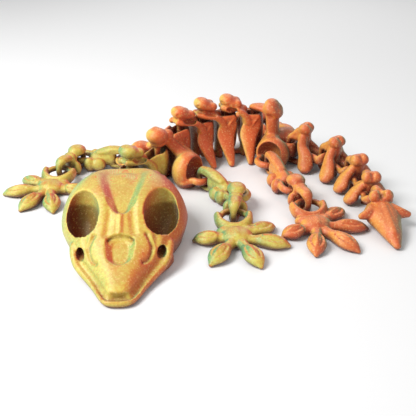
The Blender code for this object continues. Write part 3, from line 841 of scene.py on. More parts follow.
@dataclass
class Vertebra(Bone):
    """A trunk bone: arch, mushroom cap, tall ear and two ribs that reach the floor."""

    length: float = 14.0
    cap_top: float = 32.0
    arch: float = 24.0
    ear_top: float = 21.5
    rib_reach: float = 15.0

    def shape(self, clay: Clay) -> None:
        """Lay down the trunk bone's forms.

        Args:
            clay: What the forms are added to.
        """
        arch, top = self.arch, self.ear_top
        self.ring(clay, 0, 9.0, arch, 1.5, 2.6)
        self.hood(clay, 5.4)
        self.ear(clay, self.length, 9.4, (top + 0.4, top + 0.4, top + 0.6), 4.2, 1.4)
        self.cap(clay, 0.9, self.cap_top, 1.0)
        self.ribs(clay)

    def hood(self, clay: Clay, half: float) -> None:
        """The broad arch over the loop in front, its side skirts and the column behind it.

        Args:
            clay: What it is added to.
            half: Half its width.
        """
        arch = self.arch
        clay.bar(((-2.2, 0, arch + 1.0), (0.6, 0, arch + 0.7), (4.2, 0, arch + 0.6), (7.4, 0, arch - 0.9),
                  (9.2, 0, arch - 5.0), (9.4, 0, 8.0), (9.4, 0, 0.5)),
                 ((half * 0.66, 1.3), (half * 0.8, 1.5), (half * 0.9, 1.6), (half, 1.8), (half, 2.0),
                  (3.4, 2.1), (3.8, 2.2)), Y_AXIS)
        clay.twin(((-2.8, half * 0.5, arch + 0.9), (1.6, half * 0.8, arch + 0.4), (5.6, half, arch - 0.2),
                   (8.6, half + 0.3, arch - 2.6), (10.8, half + 0.5, arch - 6.4)),
                  ((1.6, 1.5), (1.9, 1.5), (1.9, 1.5), (1.8, 1.9), (1.7, 2.4)), Y_AXIS)

    def cap(self, clay: Clay, x: float, top: float, size: float) -> None:
        """The mushroom cap on its stout neck, with lobes and hollows under its brim.

        Args:
            clay: What the cap is added to.
            x: Middle of the cap.
            top: Its highest point.
            size: Its size against a trunk bone's.
        """
        clay.blob((x - 0.7, 0, top - 3.2 * size), (4.4 * size, 5.0 * size, 3.2 * size), 0, 10)
        clay.blob((x + 1.6, 0, top - 4.2 * size), (4.8 * size, 5.2 * size, 2.6 * size), 0, 16)
        clay.pair((x + 4.2 * size, 2.7 * size, top - 4.4 * size), (2.3 * size, 2.6 * size, 2.0 * size),
                  18, 20)
        clay.bar(((x + 0.4, 0, top - 4.6 * size), (x + 1.4, 0, top - 7.4 * size),
                  (x + 2.2, 0, self.arch + 2.6)),
                 ((3.0 * size, 3.4 * size), (3.2 * size, 3.8 * size), (3.6, 4.8)), Y_AXIS)
        clay.pair((x + 2.0 * size, 5.0 * size, top - 7.3 * size), (4.0 * size, 2.3 * size, 1.5 * size), 0, 14,
                  carve=True)

    def ribs(self, clay: Clay) -> None:
        """A broad blade on each side, from the ear down to the floor.

        Args:
            clay: What the blades are added to.
        """
        top, reach, back = self.ear_top, self.rib_reach, self.length
        clay.twin(((back + 0.2, 5.0, top - 2.2), (back - 1.2, 5.5, top * 0.79), (back - 3.2, 6.8, top * 0.60),
                   (10.6, 0.66 * reach, top * 0.40), (10.9, 0.84 * reach, top * 0.19), (10.8, reach, 1.2)),
                  ((4.2, 1.0), (4.9, 1.4), (4.9, 1.7), (3.7, 1.8), (2.6, 1.7), (1.7, 1.4)), X_AXIS)
        clay.twin(((10.0, 5.6, top * 0.80), (9.2, 6.4, top * 0.62), (9.6, 0.62 * reach, top * 0.45)),
                  ((1.6, 1.4), (3.0, 1.6), (2.6, 1.6)), X_AXIS)
        clay.twin(((8.4, 4.6, top - 2.2), (back - 2.2, 5.3, top - 2.0), (back + 2.4, 4.9, top - 1.4)),
                  ((2.4, 1.3), (2.6, 1.3), (1.9, 1.2)), Z_AXIS)

    def detail(self, hand: Sculptor) -> None:
        """Raise a ridge by the ear's rear corner, press a dip before it and a rim round the cap.

        Args:
            hand: The sculptor that holds the body.
        """
        top, back, high = self.ear_top, self.length, self.cap_top
        hand.press_both([(back - 2.4, 6.2, top - 6.0), (back - 0.4, 6.0, top - 3.0),
                         (back + 1.8, 5.0, top - 0.8)], 1.3, -0.9)
        hand.press_both([(back - 4.4, 6.2, top - 5.0), (back - 2.2, 6.0, top - 2.2)], 1.7, 0.6)
        hand.press_both([(-3.4, 3.0, high - 3.2), (1.4, 3.4, high - 2.2), (2.6, 0, high - 1.4)], 1.0, 0.45)


@dataclass
class NeckBone(Vertebra):
    """The short bone between skull and shoulders, with low side lobes in place of ribs."""

    def shape(self, clay: Clay) -> None:
        """Lay down the neck bone's forms.

        Args:
            clay: What the forms are added to.
        """
        top = self.ear_top
        self.ring(clay, 0, 9.0, self.arch, 1.5, 2.6)
        self.hood(clay, 4.6)
        self.ear(clay, self.length, 9.4, (top - 1.4, top - 0.4, top + 0.2), 4.2, 1.4)
        self.cap(clay, 0.9, self.cap_top, 0.96)
        clay.pair((10.0, 4.2, 4.2), (2.8, 3.6, 4.8))

    def detail(self, hand: Sculptor) -> None:
        """Mark the cap's dip."""
        hand.press([(-1.4, 1.0, self.cap_top - 0.4), (3.4, 0.4, self.cap_top - 1.4)], 1.5, 0.3)


@dataclass
class Girdle(Bone):
    """A broad bone that carries two limbs in cupped sockets."""

    length: float = 20.0
    cap_top: float = 28.0
    arch: float = 20.0
    ear_top: float = 21.0
    socket: Row = (4.0, 21.0)
    cup_radii: Row = (8.6, 6.4, 8.9)
    cup_x: float = 4.6
    pocket_x: float = 4.0

    def sockets(self, clay: Clay) -> None:
        """The cup on each side, hollowed to a thin rim, and the handle that stands in it.

        Args:
            clay: What they are added to.
        """
        x, left = self.socket
        long, wide, high = self.cup_radii
        clay.pair((self.cup_x, left - 7.2, high - 2.4), self.cup_radii)
        clay.pair((self.pocket_x, left + 0.4, 8.2), (long - 1.7, wide + 1.7, high - 1.9), carve=True)
        clay.after_carving = True
        for side in BOTH_SIDES:
            roots = [(x + way * 6.4, side * (left - 5.4), 3.9) for way in (-side, side)]
            self.handle(clay, (x, side * left), 90 * side, 4.9, 1.75, roots)


@dataclass
class ShoulderGirdle(Girdle):
    """The shoulders: a tall cap, a smooth saddle and the sockets of both arms."""

    def shape(self, clay: Clay) -> None:
        """Lay down the shoulders' forms.

        Args:
            clay: What the forms are added to.
        """
        arch, top, high = self.arch, self.ear_top, self.cap_top
        self.ring(clay, 0, 9.0, arch, 1.5, 3.0)
        clay.bar(((-0.8, 0, arch + 0.5), (2.8, 0, arch + 0.9), (6.4, 0, arch + 0.2), (9.6, 0, arch - 3.0),
                  (11.4, 0, 9.0), (11.6, 0, 0.5)),
                 ((3.8, 1.6), (4.9, 1.8), (5.2, 2.2), (5.8, 2.8), (7.2, 3.6), (7.4, 4.0)), Y_AXIS)
        self.ear(clay, self.length, 11.5, (top - 1.4, top - 0.4, top + 0.2), 4.2, 1.4)
        clay.blob((0.2, 0, high - 4.0), (5.0, 5.6, 4.0), 0, 8)
        clay.pair((4.0, 3.4, high - 4.6), (3.0, 3.0, 3.2), 24, 18)
        clay.blob((5.8, 0, high - 7.4), (3.4, 4.6, 3.0), 0, 26)
        clay.bar(((0.4, 0, high - 5.0), (2.4, 0, arch + 3.0)), ((3.2, 3.6), (3.6, 4.0)), Y_AXIS)
        clay.twin(((4.6, 3.6, high - 7.4), (7.6, 6.4, 15.6), (8.0, 10.6, 12.6)),
                  ((2.8, 2.4), (3.6, 2.6), (4.4, 2.8)), X_AXIS)
        clay.twin(((12.6, 2.0, 9.6), (10.6, 8.0, 8.6), (7.0, 13.2, 7.6)),
                  ((5.0, 7.4), (6.2, 7.0), (7.2, 7.2)), X_AXIS)
        clay.twin(((13.4, 3.8, 17.0), (13.6, 6.6, 9.0), (12.8, 9.4, 1.2)),
                  ((3.2, 1.8), (4.2, 2.2), (2.4, 1.8)), X_AXIS)
        clay.twin(((10.6, 3.6, top - 1.6), (self.length - 1.6, 5.0, top - 1.6)),
                  ((2.6, 1.5), (2.4, 1.3)), Z_AXIS)
        self.sockets(clay)

    def detail(self, hand: Sculptor) -> None:
        """Press the hollow under the cap's lobe and the groove before the ear."""
        hand.press_both([(4.6, 5.4, self.cap_top - 8.6), (7.6, 7.6, 14.6)], 2.6, 1.0)
        hand.press_both([(10.0, 5.0, 17.0), (12.4, 6.0, 15.0)], 1.8, 0.6)


@dataclass
class Pelvis(Girdle):
    """The hips: a long arch, a tall cap on a column and the sockets of both legs."""

    def shape(self, clay: Clay) -> None:
        """Lay down the hips' forms.

        Args:
            clay: What the forms are added to.
        """
        arch, top, high = self.arch, self.ear_top, self.cap_top
        self.ring(clay, 0, 10.6, arch, 1.5, 2.8)
        clay.bar(((-0.6, 0, arch + 0.2), (3.0, 0, arch + 0.9), (7.4, 0, arch + 0.4), (10.6, 0, arch - 2.6),
                  (12.0, 0, 13.0), (12.2, 0, 0.5)),
                 ((2.8, 1.5), (3.6, 1.7), (3.8, 2.0), (3.8, 2.6), (4.4, 3.2), (5.0, 3.6)), Y_AXIS)
        clay.blob((10.8, 0, high - 3.4), (4.0, 4.8, 3.4), 0, 30)
        clay.pair((11.6, 3.0, high - 5.0), (4.4, 2.6, 3.0), 0, 34)
        clay.blob((13.8, 0, high - 6.8), (3.0, 4.6, 2.8), 0, 40)
        clay.bar(((11.4, 0, high - 4.6), (12.2, 0, 14.0)), ((3.4, 3.2), (4.0, 3.2)), Y_AXIS)
        clay.pair((12.8, 5.4, high - 8.6), (3.4, 2.6, 2.4), 0, 30, carve=True)
        self.ear(clay, self.length, 13.4, (top - 2.5, top, top), 3.8, 1.3)
        clay.twin(((12.2, 1.0, 9.0), (14.6, 6.6, 8.2)), ((5.4, 6.8), (6.8, 7.0)), X_AXIS)
        self.sockets(clay)


@dataclass
class TailBone(Bone):
    """A tail bone: long arch, twin-lobed cap, side paddles and a low loop."""

    length: float = 16.0
    cap_top: float = 20.0
    arch: float = 13.0
    loop_top: float = 10.0
    paddle_reach: float = 10.0

    def shape(self, clay: Clay) -> None:
        """Lay down the tail bone's forms.

        Args:
            clay: What the forms are added to.
        """
        high, loop, reach, back = self.cap_top, self.loop_top, self.paddle_reach, self.length
        self.ring(clay, 0, 7.6, self.arch, 1.4, 2.3)
        clay.bar(((4.6, 0, self.arch + 0.2), (8.0, 0, high - 5.0), (8.4, 0, 5.0), (8.2, 0, 0.6)),
                 ((2.5, 2.1), (2.8, 2.4), (2.8, 2.4), (3.0, 2.4)), Y_AXIS)
        clay.pair((9.0, 2.0, high - 2.8), (3.2, 2.5, 2.5), 0, 14)
        clay.blob((8.5, 0, high - 3.3), (3.8, 4.3, 2.8))
        clay.bar(((8.4, 0, high - 4.0), (8.4, 0, high - 8.6)), ((3.0, 3.2), (3.3, 3.0)), Y_AXIS)
        clay.bar(((1.8, 0, self.arch + 0.7), (4.6, 0, high - 5.6), (7.0, 0, high - 3.6)),
                 ((2.0, 1.3), (2.3, 2.0), (2.6, 2.2)), Y_AXIS)
        self.ear(clay, back, 8.4, (loop - 0.4, loop - 1.8, loop + 0.2), 3.8, 1.4)
        clay.twin(((8.4, 2.0, high - 7.0), (8.6, reach * 0.42, high * 0.52),
                   (back - 6.4, reach * 0.64, high * 0.34), (back - 5.2, reach * 0.84, 3.4),
                   (back - 4.6, reach * 0.98, 2.4)),
                  ((2.4, 2.4), (2.6, 2.0), (3.6, 2.2), (4.2, 2.4), (3.2, 2.2)), X_AXIS)

    def detail(self, hand: Sculptor) -> None:
        """Press the groove between the cap's two lobes and the dip up its front."""
        hand.press([(10.2, 0, self.cap_top - 0.8), (12.6, 0, self.cap_top - 2.4)], 1.4, 0.6)
        hand.press([(3.8, 0, self.arch + 2.0), (5.6, 0, self.cap_top - 3.0)], 1.5, 0.7)


@dataclass
class TailTip(Bone):
    """The last bone: twin-lobed cap, two side spikes and a long tapering point."""

    cap_top: float = 14.5
    arch: float = 11.3

    def shape(self, clay: Clay) -> None:
        """Lay down the tip's forms.

        Args:
            clay: What the forms are added to.
        """
        high = self.cap_top
        self.ring(clay, 0, 7.6, self.arch, 1.4, 2.0)
        clay.bar(((5.0, 0, self.arch), (8.4, 0, high - 4.6), (9.0, 0, 0.8)),
                 ((2.4, 2.2), (3.0, 2.6), (3.4, 2.4)), Y_AXIS)
        clay.pair((8.8, 2.9, high - 2.7), (2.8, 2.5, 2.7), 14, 6)
        clay.blob((8.8, 0, high - 4.4), (2.8, 3.4, 2.4))
        clay.bar(((8.6, 0, 5.6), (13.6, 0, 5.0), (20.0, 0, 4.2), (27.0, 0, 3.0), (32.4, 0, 1.6)),
                 ((4.0, 5.6), (7.6, 5.0), (6.0, 4.0), (3.9, 3.0), (1.7, 1.6)), Y_AXIS)
        clay.twin(((11.0, 3.0, 6.0), (14.6, 7.0, 6.4), (15.8, 10.2, 6.2)),
                  ((4.0, 3.6), (2.4, 2.6), (1.4, 1.5)), X_AXIS)

    def detail(self, hand: Sculptor) -> None:
        """Press the cap's groove and leave a soft crest along the point.

        Args:
            hand: The sculptor that holds the body.
        """
        high = self.cap_top
        hand.press([(6.4, 0, high - 0.6), (11.6, 0, high - 2.4)], 1.6, 0.9)
        hand.press([(14.0, 0, 9.6), (20.0, 0, 8.0), (28.0, 0, 5.6)], 2.0, -0.35)


@dataclass
class UpperLink(Bone):
    """Upper arm or thigh: a ring on the girdle's handle and a level loop for the next link."""

    length: float = 24.0

    def shape(self, clay: Clay) -> None:
        """Lay down the link's forms.

        Args:
            clay: What the forms are added to.
        """
        end = self.length - 6.4
        middle = (8.8 + end) / 2
        self.ring(clay, 0, 8.8, 9.6, 1.5, 2.4)
        clay.bar(((8.8, 0, 5.8), (middle, 0, 5.6), (end, 0, 5.0)),
                 ((2.8, 4.6), (2.9, 4.0), (3.6, 3.2)), Y_AXIS)
        clay.bar(((1.6, 0, 10.6), (6.4, 0, 11.0), (10.4, 0, 9.8), (middle + 2.0, 0, 8.4)),
                 ((2.2, 1.1), (2.6, 1.3), (3.0, 2.0), (2.4, 1.6)), Y_AXIS)
        clay.pair((middle + 1.4, 4.3, 3.4), (3.8, 3.0, 3.4), 14)
        roots = [(self.length - 8.6, side * 2.8, 4.8) for side in BOTH_SIDES]
        self.handle(clay, (self.length, 0.0), 0.0, 4.85, 1.7, roots)
        clay.pair((self.length - 5.0, 5.4, 3.7), (3.0, 2.5, 3.7))

    def detail(self, hand: Sculptor) -> None:
        """Raise the crest that runs from the ring to the loop."""
        hand.press([(9.0, 0, 11.6), (13.4, 0, 9.6), (self.length - 7.0, 0, 7.6)], 1.5, -0.4)


@dataclass
class LowerLink(Bone):
    """Forearm or shin: a ring at each end with one stout shaft between them."""

    length: float = 19.0

    def shape(self, clay: Clay) -> None:
        """Lay down the link's forms.

        Args:
            clay: What the forms are added to.
        """
        middle = self.length / 2
        self.ring(clay, 0, middle - 0.6, 9.8, 1.5, 3.2)
        self.ring(clay, self.length, middle + 0.6, 9.4, 1.5, 2.8)
        clay.bar(((middle, 0, 9.4), (middle, 0, 1.0)), ((3.4, 2.3), (3.5, 2.2)), Y_AXIS)
        clay.blob((4.0, 0, 10.5), (4.9, 4.3, 2.7), 0, -6)
        clay.pair((middle, 3.5, 3.6), (2.2, 2.1, 3.6))

    def detail(self, hand: Sculptor) -> None:
        """Press the waist between the link's knob and its strap."""
        middle = self.length / 2
        hand.press([(middle - 0.4, 3.2, 9.0), (middle - 0.2, 0, 11.8), (middle - 0.4, -3.2, 9.0)], 1.3, 0.45)


@dataclass
class Foot(Bone):
    """Foot: a crescent round the ankle post, a hub and five petal toes."""

    toes: tuple[Row, ...] = ()
    mirror: int = 1
    hub: float = 13.5

    def shape(self, clay: Clay) -> None:
        """Lay down the foot's forms.

        Args:
            clay: What the forms are added to.
        """
        middle = (0.0, 0.0)
        crescent = [around(middle, 6.9, angle, 2.6 + 2.2 * abs(angle) / 96)
                    for angle in (96, 60, 20, -20, -60, -96)]
        clay.bar(crescent, ((2.6, 1.6), (3.0, 1.9), (3.0, 2.1), (3.0, 2.1), (3.0, 1.9), (2.6, 1.6)), Z_AXIS)
        heel = ((96, 5.6), (122, 5.0), (150, 4.6), (180, 4.5), (210, 4.6), (238, 5.0), (264, 5.6))
        clay.bar([around(middle, radius, angle, 5.0) for angle, radius in heel], [1.4] * len(heel), Z_AXIS)
        clay.blob((12.4, 0, 2.9), (5.6, 6.6, 3.3))
        clay.pair((9.4, 4.4, 2.6), (3.0, 4.0, 2.7), 30)
        for angle, reach in self.toes:
            self.toe(clay, self.mirror * angle, reach)

    def toe(self, clay: Clay, angle: float, reach: float) -> None:
        """One petal-shaped toe, flat below and crested above.

        Args:
            clay: What the toe is added to.
            angle: Its heading from the foot's own.
            reach: How far its tip is from the hub.
        """
        rows = ((2.5, 2.6, 2.5), (7.4, 2.3, 2.3), (reach * 0.50, 3.5, 2.7), (reach * 0.68, 4.2, 2.6),
                (reach * 0.85, 3.0, 2.0), (reach - 0.9, 1.1, 1.0))
        points = [around((self.hub, 0.0), along, angle, high * 0.94) for along, _, high in rows]
        clay.bar(points, [(high, wide) for _, wide, high in rows], Z_AXIS)

    def detail(self, hand: Sculptor) -> None:
        """Press a border round each petal and raise a crest along it.

        Args:
            hand: The sculptor that holds the body.
        """
        for angle, reach in self.toes:
            turn = math.radians(self.mirror * angle)
            for aside, width, depth in ((2.3, 1.0, 0.5), (-2.3, 1.0, 0.5), (0.0, 1.1, -0.5)):
                path = []
                for along, share in ((0.50, 0.7), (0.68, 1.0), (0.88, 0.45)):
                    x = self.hub + along * reach * math.cos(turn) - aside * share * math.sin(turn)
                    y = along * reach * math.sin(turn) + aside * share * math.cos(turn)
                    path.append((x, y, 4.6 if aside else 5.2))
                hand.press(path, width, depth)
        hand.press([(15.4, 0, 6.2), (9.4, 0, 6.6)], 1.8, -0.3)


@dataclass(frozen=True)
class Mark:
    """A crease on the dome, along points given along and aside; a ridge where depth is below nought."""

    line: tuple[Row, ...]
    width: float | Row
    depth: float
    flat: bool = False
    both: bool = False


@dataclass
class Skull(Bone):
    """The skull: dome, eye sockets, brow grooves, snub nose and the smiling mouth."""

    grain: float = 0.42
    passes: int = 6
    sections: tuple[Row, ...] = (
        (10.2, 3.0, 13.0), (12.0, 9.2, 18.2), (16.0, 15.8, 22.4), (21.0, 21.0, 24.8), (27.0, 25.2, 25.8),
        (34.0, 26.7, 25.0), (42.0, 25.9, 22.4), (49.0, 23.3, 18.8), (54.0, 20.6, 16.0), (59.0, 18.4, 13.6),
        (64.0, 14.9, 11.5), (69.0, 11.0, 9.5), (73.6, 7.8, 7.6), (78.0, 5.5, 5.8), (81.2, 2.6, 3.6),
    )
    mouth: tuple[Row, ...] = (
        (60.4, 15.8, 9.0), (64.0, 14.4, 7.2), (68.4, 11.2, 5.8), (73.4, 7.9, 4.7), (77.8, 5.6, 4.1),
        (81.0, 2.8, 3.8),
    )
    marks: dict[str, Mark] = field(default_factory=lambda: {
        "brow_hollow": Mark(((25.0, 0), (31.0, 0), (38.0, 0), (46.0, 0)), (12.6, 11.0, 8.2, 4.2), 2.8,
                            flat=True),
        "brow_rise": Mark(((25.0, 0), (28.0, 0)), 6.0, -1.3),
        "temple_front": Mark(((21.0, 13.6), (21.4, 13.8)), 2.2, -0.5, both=True),
        "snout_groove": Mark(((43.0, 4.6), (50.0, 4.4), (57.0, 5.2)), 2.4, 0.55, both=True),
        "cheek_line": Mark(((56.8, 10.0), (61.0, 12.0), (65.4, 10.8), (67.4, 8.8)), 1.4, 0.9, both=True),
        "mouth_corner": Mark(((56.6, 13.6), (59.6, 13.2)), 2.6, 0.6, both=True),
        "temple_rear": Mark(((22.4, 16.4), (22.9, 16.5)), 1.9, -0.5, both=True),
        "snout_crest": Mark(((44.0, 0.3), (52.0, 0.3), (57.0, 0.3)), 1.6, -0.5),
        "nose_dip": Mark(((62.0, 0), (65.4, 0)), (6.2, 5.6), 2.0, flat=True),
        "nose_edge": Mark(((59.2, 3.8), (58.8, 0), (59.2, -3.8)), 1.9, 2.0),
        "nostril": Mark(((59.6, 3.9), (60.6, 4.1)), 1.7, 1.0, both=True),
        "nose_roll": Mark(((61.2, 2.4), (61.0, 0), (61.2, -2.4)), 1.3, -0.8),
        "nose_tip": Mark(((65.0, 2.6), (65.4, 0), (65.0, -2.6)), 1.5, -0.5)})
    tuck: float = 3.2
    tuck_top: float = 8.0
    jaw: float = 55.0
    sink: float = 1.0
    fullness_across: float = 0.62
    fullness_up: float = 0.8

    def shell(self) -> bmesh.types.BMesh:
        """The dome: a ball drawn over the skull's cross-sections.

        Returns:
            The closed form.
        """
        rows = smooth_rows(self.sections, 8)
        count = len(rows)
        form = bmesh.new()
        turn = Matrix.Rotation(math.radians(90), 4, "Y")
        bmesh.ops.create_uvsphere(form, u_segments=72, v_segments=count + 1, radius=1.0, matrix=turn)
        for vert in form.verts:
            share = math.acos(max(-1.0, min(1.0, vert.co.x))) / math.pi
            along, half, high = rows[min(max(round(share * (count + 1)) - 1, 0), count - 1)]
            ring = math.hypot(vert.co.y, vert.co.z)
            if ring < 1e-6:
                vert.co = (-along, 0, high * 0.5)
                continue
            cos, sin = vert.co.y / ring, vert.co.z / ring
            dome = (high + self.sink) * abs(sin) ** self.fullness_up
            height = -self.sink + dome if sin > 0 else -self.sink - abs(sin)
            tuck = self.tuck * max(0.0, 1 - max(height, 0) / self.tuck_top) if along < self.jaw else 0.0
            across = max(half * abs(cos) ** self.fullness_across - tuck, 0.0)
            vert.co = (-along, math.copysign(across, cos), height)
        return form

    def top(self, along: float, aside: float) -> Row:
        """A point on the dome's upper surface.

        Args:
            along: How far in front of the post.
            aside: How far to the left of the middle.

        Returns:
            The point.
        """
        stations = [row[0] for row in self.sections]
        half, high = (float(np.interp(along, stations, [row[k] for row in self.sections])) for k in (1, 2))
        level = 1.0 - min(abs(aside) / half, 1.0) ** (2 / self.fullness_across)
        return (-along, aside, -self.sink + (high + self.sink) * level ** (self.fullness_up / 2))

    def shape(self, clay: Clay) -> None:
        """Lay down the skull's forms.

        Args:
            clay: What the forms are added to.
        """
        clay.keep(self.shell())
        clay.bar(((-15.0, 0, 9.0), (-8.0, 0, 9.0)), ((5.0, 4.6), (3.4, 4.4)), Y_AXIS)
        self.ear(clay, 0, -8.6, (12.0, 14.5, 14.5), 4.2, 1.4)
        rim = [(-54.6, 18.4, 8.0), (-58.0, 18.0, 6.6), (-61.4, 16.9, 4.9), (-64.4, 15.0, 3.5)]
        rim += [(-along - 0.6, across + 0.3, low)
                for (along, across, _), low in zip(self.mouth[2:], (2.4, 1.8, 1.6, 1.6))]
        rim += [(x, -y, z) for x, y, z in reversed(rim)]
        clay.bar(rim, [(1.7, 1.8)] * len(rim), Z_AXIS, 4)
        clay.pair((-45.4, 15.2, 13.4), (10.2, 6.4, 10.6), 19.0, 0, carve=True)
        clay.pair((-44.8, 15.3, 19.0), (9.9, 6.1, 9.6), 19.0, 0, carve=True)
        clay.pair((-59.4, 15.1, 7.6), (4.4, 1.9, 2.1), carve=True)

    def detail(self, hand: Sculptor) -> None:
        """Work the face: brows, nose, cheeks and lips.

        Args:
            hand: The sculptor that holds the body.
        """
        for mark in self.marks.values():
            press = hand.press_both if mark.both else hand.press
            press([self.top(along, aside) for along, aside in mark.line], mark.width, mark.depth, mark.flat)
        lips = [(-along, across + 1.0, high) for along, across, high in self.mouth]
        lips += [(x, -y, z) for x, y, z in reversed(lips)]
        hand.press(lips, 2.0, 2.0)
        hand.press_both([(-22.4, 16.2, 24.4), (-22.8, 16.4, 24.3)], 1.9, -0.5)


@dataclass(frozen=True)
class SpineRow:
    """A spine bone's post, the tops of its cap and loop, and how far its ribs or paddles reach."""

    post: tuple[float, float]
    cap_top: float
    loop_top: float = 0.0
    reach: float = 0.0


@dataclass
class Toy:
    """The whole toy: the spine's posts, the limbs' links and every bone's finish."""

    spine: dict[str, SpineRow] = field(default_factory=lambda: {
        "neck": SpineRow((-36.5, 12.5), 25.5, 17.0),
        "shoulder_girdle": SpineRow((-24.3, 26.9), 28.0, 21.0),
        "rib_vertebra_1": SpineRow((-14.3, 45.2), 32.0, 21.5, 14.5),
        "rib_vertebra_2": SpineRow((-3.2, 54.0), 33.5, 23.5, 15.5),
        "rib_vertebra_3": SpineRow((9.9, 58.9), 33.7, 23.5, 15.0),
        "pelvis": SpineRow((23.8, 60.5), 32.5, 12.5),
        "tail_1": SpineRow((42.0, 48.6), 23.8, 11.0, 8.5),
        "tail_2": SpineRow((57.4, 39.6), 21.4, 10.0, 10.0),
        "tail_3": SpineRow((68.0, 26.8), 18.5, 9.2, 10.5),
        "tail_4": SpineRow((73.2, 13.0), 16.5, 8.6, 9.5),
        "tail_tip": SpineRow((73.8, -1.2), 14.5)})
    skull_loop_top: float = 14.5
    skull_heading: float = 93.5
    tip_heading: float = -85.0
    arch_gap: float = 2.7
    shoulder: Row = (4.0, 21.0)
    hip: Row = (17.4, 15.1)
    limb_headings: dict[str, Row] = field(default_factory=lambda: {
        "left_front": (-44.7, -97.2, -86.0), "right_front": (171.0, 244.0, 263.0),
        "left_hind": (-71.5, -74.5, -82.0), "right_hind": (115.0, 165.0, 160.0)})
    limb_lengths: dict[str, Row] = field(default_factory=lambda: {
        "front": (24.2, 19.2), "hind": (28.5, 18.7)})
    toes: dict[str, tuple[Row, ...]] = field(default_factory=lambda: {
        "left_front": ((-96, 18.4), (-37, 20.5), (22, 20.7), (77, 22.3), (121, 20.8)),
        "right_front": ((-96, 18.4), (-23, 20.5), (22, 20.7), (77, 22.3), (121, 20.8)),
        "left_hind": ((-76, 16.9), (-17, 20.3), (33, 22.7), (84, 22.6), (130, 22.0)),
        "right_hind": ((-76, 16.9), (-17, 20.3), (33, 22.7), (84, 22.6), (130, 22.0))})

    def stand(self, name: str) -> Stand:
        """Place and heading of a spine bone.

        Args:
            name: The bone's name.

        Returns:
            Where it stands.
        """
        if name == "skull":
            return Stand(self.spine["neck"].post, self.skull_heading)
        if name == "tail_tip":
            return Stand(self.spine[name].post, self.tip_heading)
        gap = self.gap(name)
        return Stand(self.spine[name].post, math.degrees(math.atan2(gap.y, gap.x)))

    def gap(self, name: str) -> Vector:
        """The way on the floor plan from a spine bone's post to the next one's."""
        names = list(self.spine)
        return Vector(self.spine[names[names.index(name) + 1]].post) - Vector(self.spine[name].post)

    def arch(self, name: str) -> float:
        """Middle height of the arch of a spine bone, over the loop in front of it."""
        loops = [self.skull_loop_top, *(row.loop_top for row in self.spine.values())]
        return loops[list(self.spine).index(name)] + self.arch_gap

    @staticmethod
    def finish(name: str) -> SilkPrint:
        """The finish of a bone, by where along the toy it is.

        Args:
            name: The bone's name.

        Returns:
            Its finish.
        """
        title = name + "_silk"
        if name == "skull":
            return SilkPrint(title, Strand.HEAD, edge_line_and_highlight_share=0.12, hollow=0.024)
        if "front" in name or name == "neck":
            return SilkPrint(title, Strand.HEAD, turn=-24.0)
        if name in ("shoulder_girdle", "rib_vertebra_1", "rib_vertebra_2", "rib_vertebra_3"):
            return SilkPrint(title, Strand.CHEST, top=(236, 146, 76), fleck=(206, 84, 38))
        # The tail's lighter edge colour is a painted highlight along its raised edges.
        return SilkPrint(title, Strand.TAIL, top=(232, 136, 70), fleck=(194, 78, 38), edge_line_and_highlight=(226, 142, 62))

    def bones(self) -> list[Bone]:
        """Every bone of the toy, from the skull to the feet.

        Returns:
            The bones, not yet built.
        """
        out: list[Bone] = [Skull("skull", self.stand("skull"), self.finish("skull"), "front_print")]
        out += [self.spine_bone(name) for name in self.spine]
        girdles = (("front", "shoulder_girdle", self.shoulder), ("hind", "pelvis", self.hip))
        for side, mirror in (("left", 1), ("right", -1)):
            for pair, girdle, joint in girdles:
                post = self.stand(girdle).beside(joint[0], -mirror * joint[1])
                out += self.limb(f"{side}_{pair}", post, mirror)
        return out

    def spine_bone(self, name: str) -> Bone:
        """One bone of the spine.

        Args:
            name: The bone's name.

        Returns:
            The bone, not yet built.
        """
        slot = "front_print" if name == "neck" else "rear_print"
        base = (name, self.stand(name), self.finish(name), slot)
        row = self.spine[name]
        sizes = {"cap_top": row.cap_top, "arch": self.arch(name)}
        if name == "tail_tip":
            return TailTip(*base, **sizes)
        sizes["length"] = self.gap(name).length
        if name.startswith("tail"):
            return TailBone(*base, **sizes, loop_top=row.loop_top, paddle_reach=row.reach)
        sizes["ear_top"] = row.loop_top
        if name == "shoulder_girdle":
            return ShoulderGirdle(*base, **sizes, socket=self.shoulder, cup_radii=(9.2, 7.2, 9.4),
                                  cup_x=4.8, pocket_x=4.2)
        if name == "pelvis":
            return Pelvis(*base, **sizes, socket=self.hip, cup_radii=(9.0, 6.8, 9.0), cup_x=16.6,
                          pocket_x=16.9)
        if name == "neck":
            return NeckBone(*base, **sizes)
        return Vertebra(*base, **sizes, rib_reach=row.reach)

    def limb(self, name: str, post: tuple[float, float], mirror: int) -> list[Bone]:
        """The three links of one limb.

        Args:
            name: The limb's name.
            post: Where its first post stands.
            mirror: One on the left, minus one on the right.

        Returns:
            The links, not yet built.
        """
        headings = self.limb_headings[name]
        lengths = self.limb_lengths[name.split("_")[1]]
        slot = "front_print" if "front" in name else "rear_print"
        upper = Stand(post, headings[0])
        lower = Stand(upper.beside(lengths[0]), headings[1])
        foot = Stand(lower.beside(lengths[1]), headings[2])
        part = f"{name}_upper", f"{name}_lower", f"{name}_foot"
        return [UpperLink(part[0], upper, self.finish(part[0]), slot, length=lengths[0]),
                LowerLink(part[1], lower, self.finish(part[1]), slot, length=lengths[1]),
                Foot(part[2], foot, self.finish(part[2]), slot, toes=self.toes[name], mirror=mirror)]


@dataclass(frozen=True)
class Lamp:
    """A square lamp that looks at the toy: its place and size in metres and its watts."""

    name: str
    place: Row
    size: float
    power: float


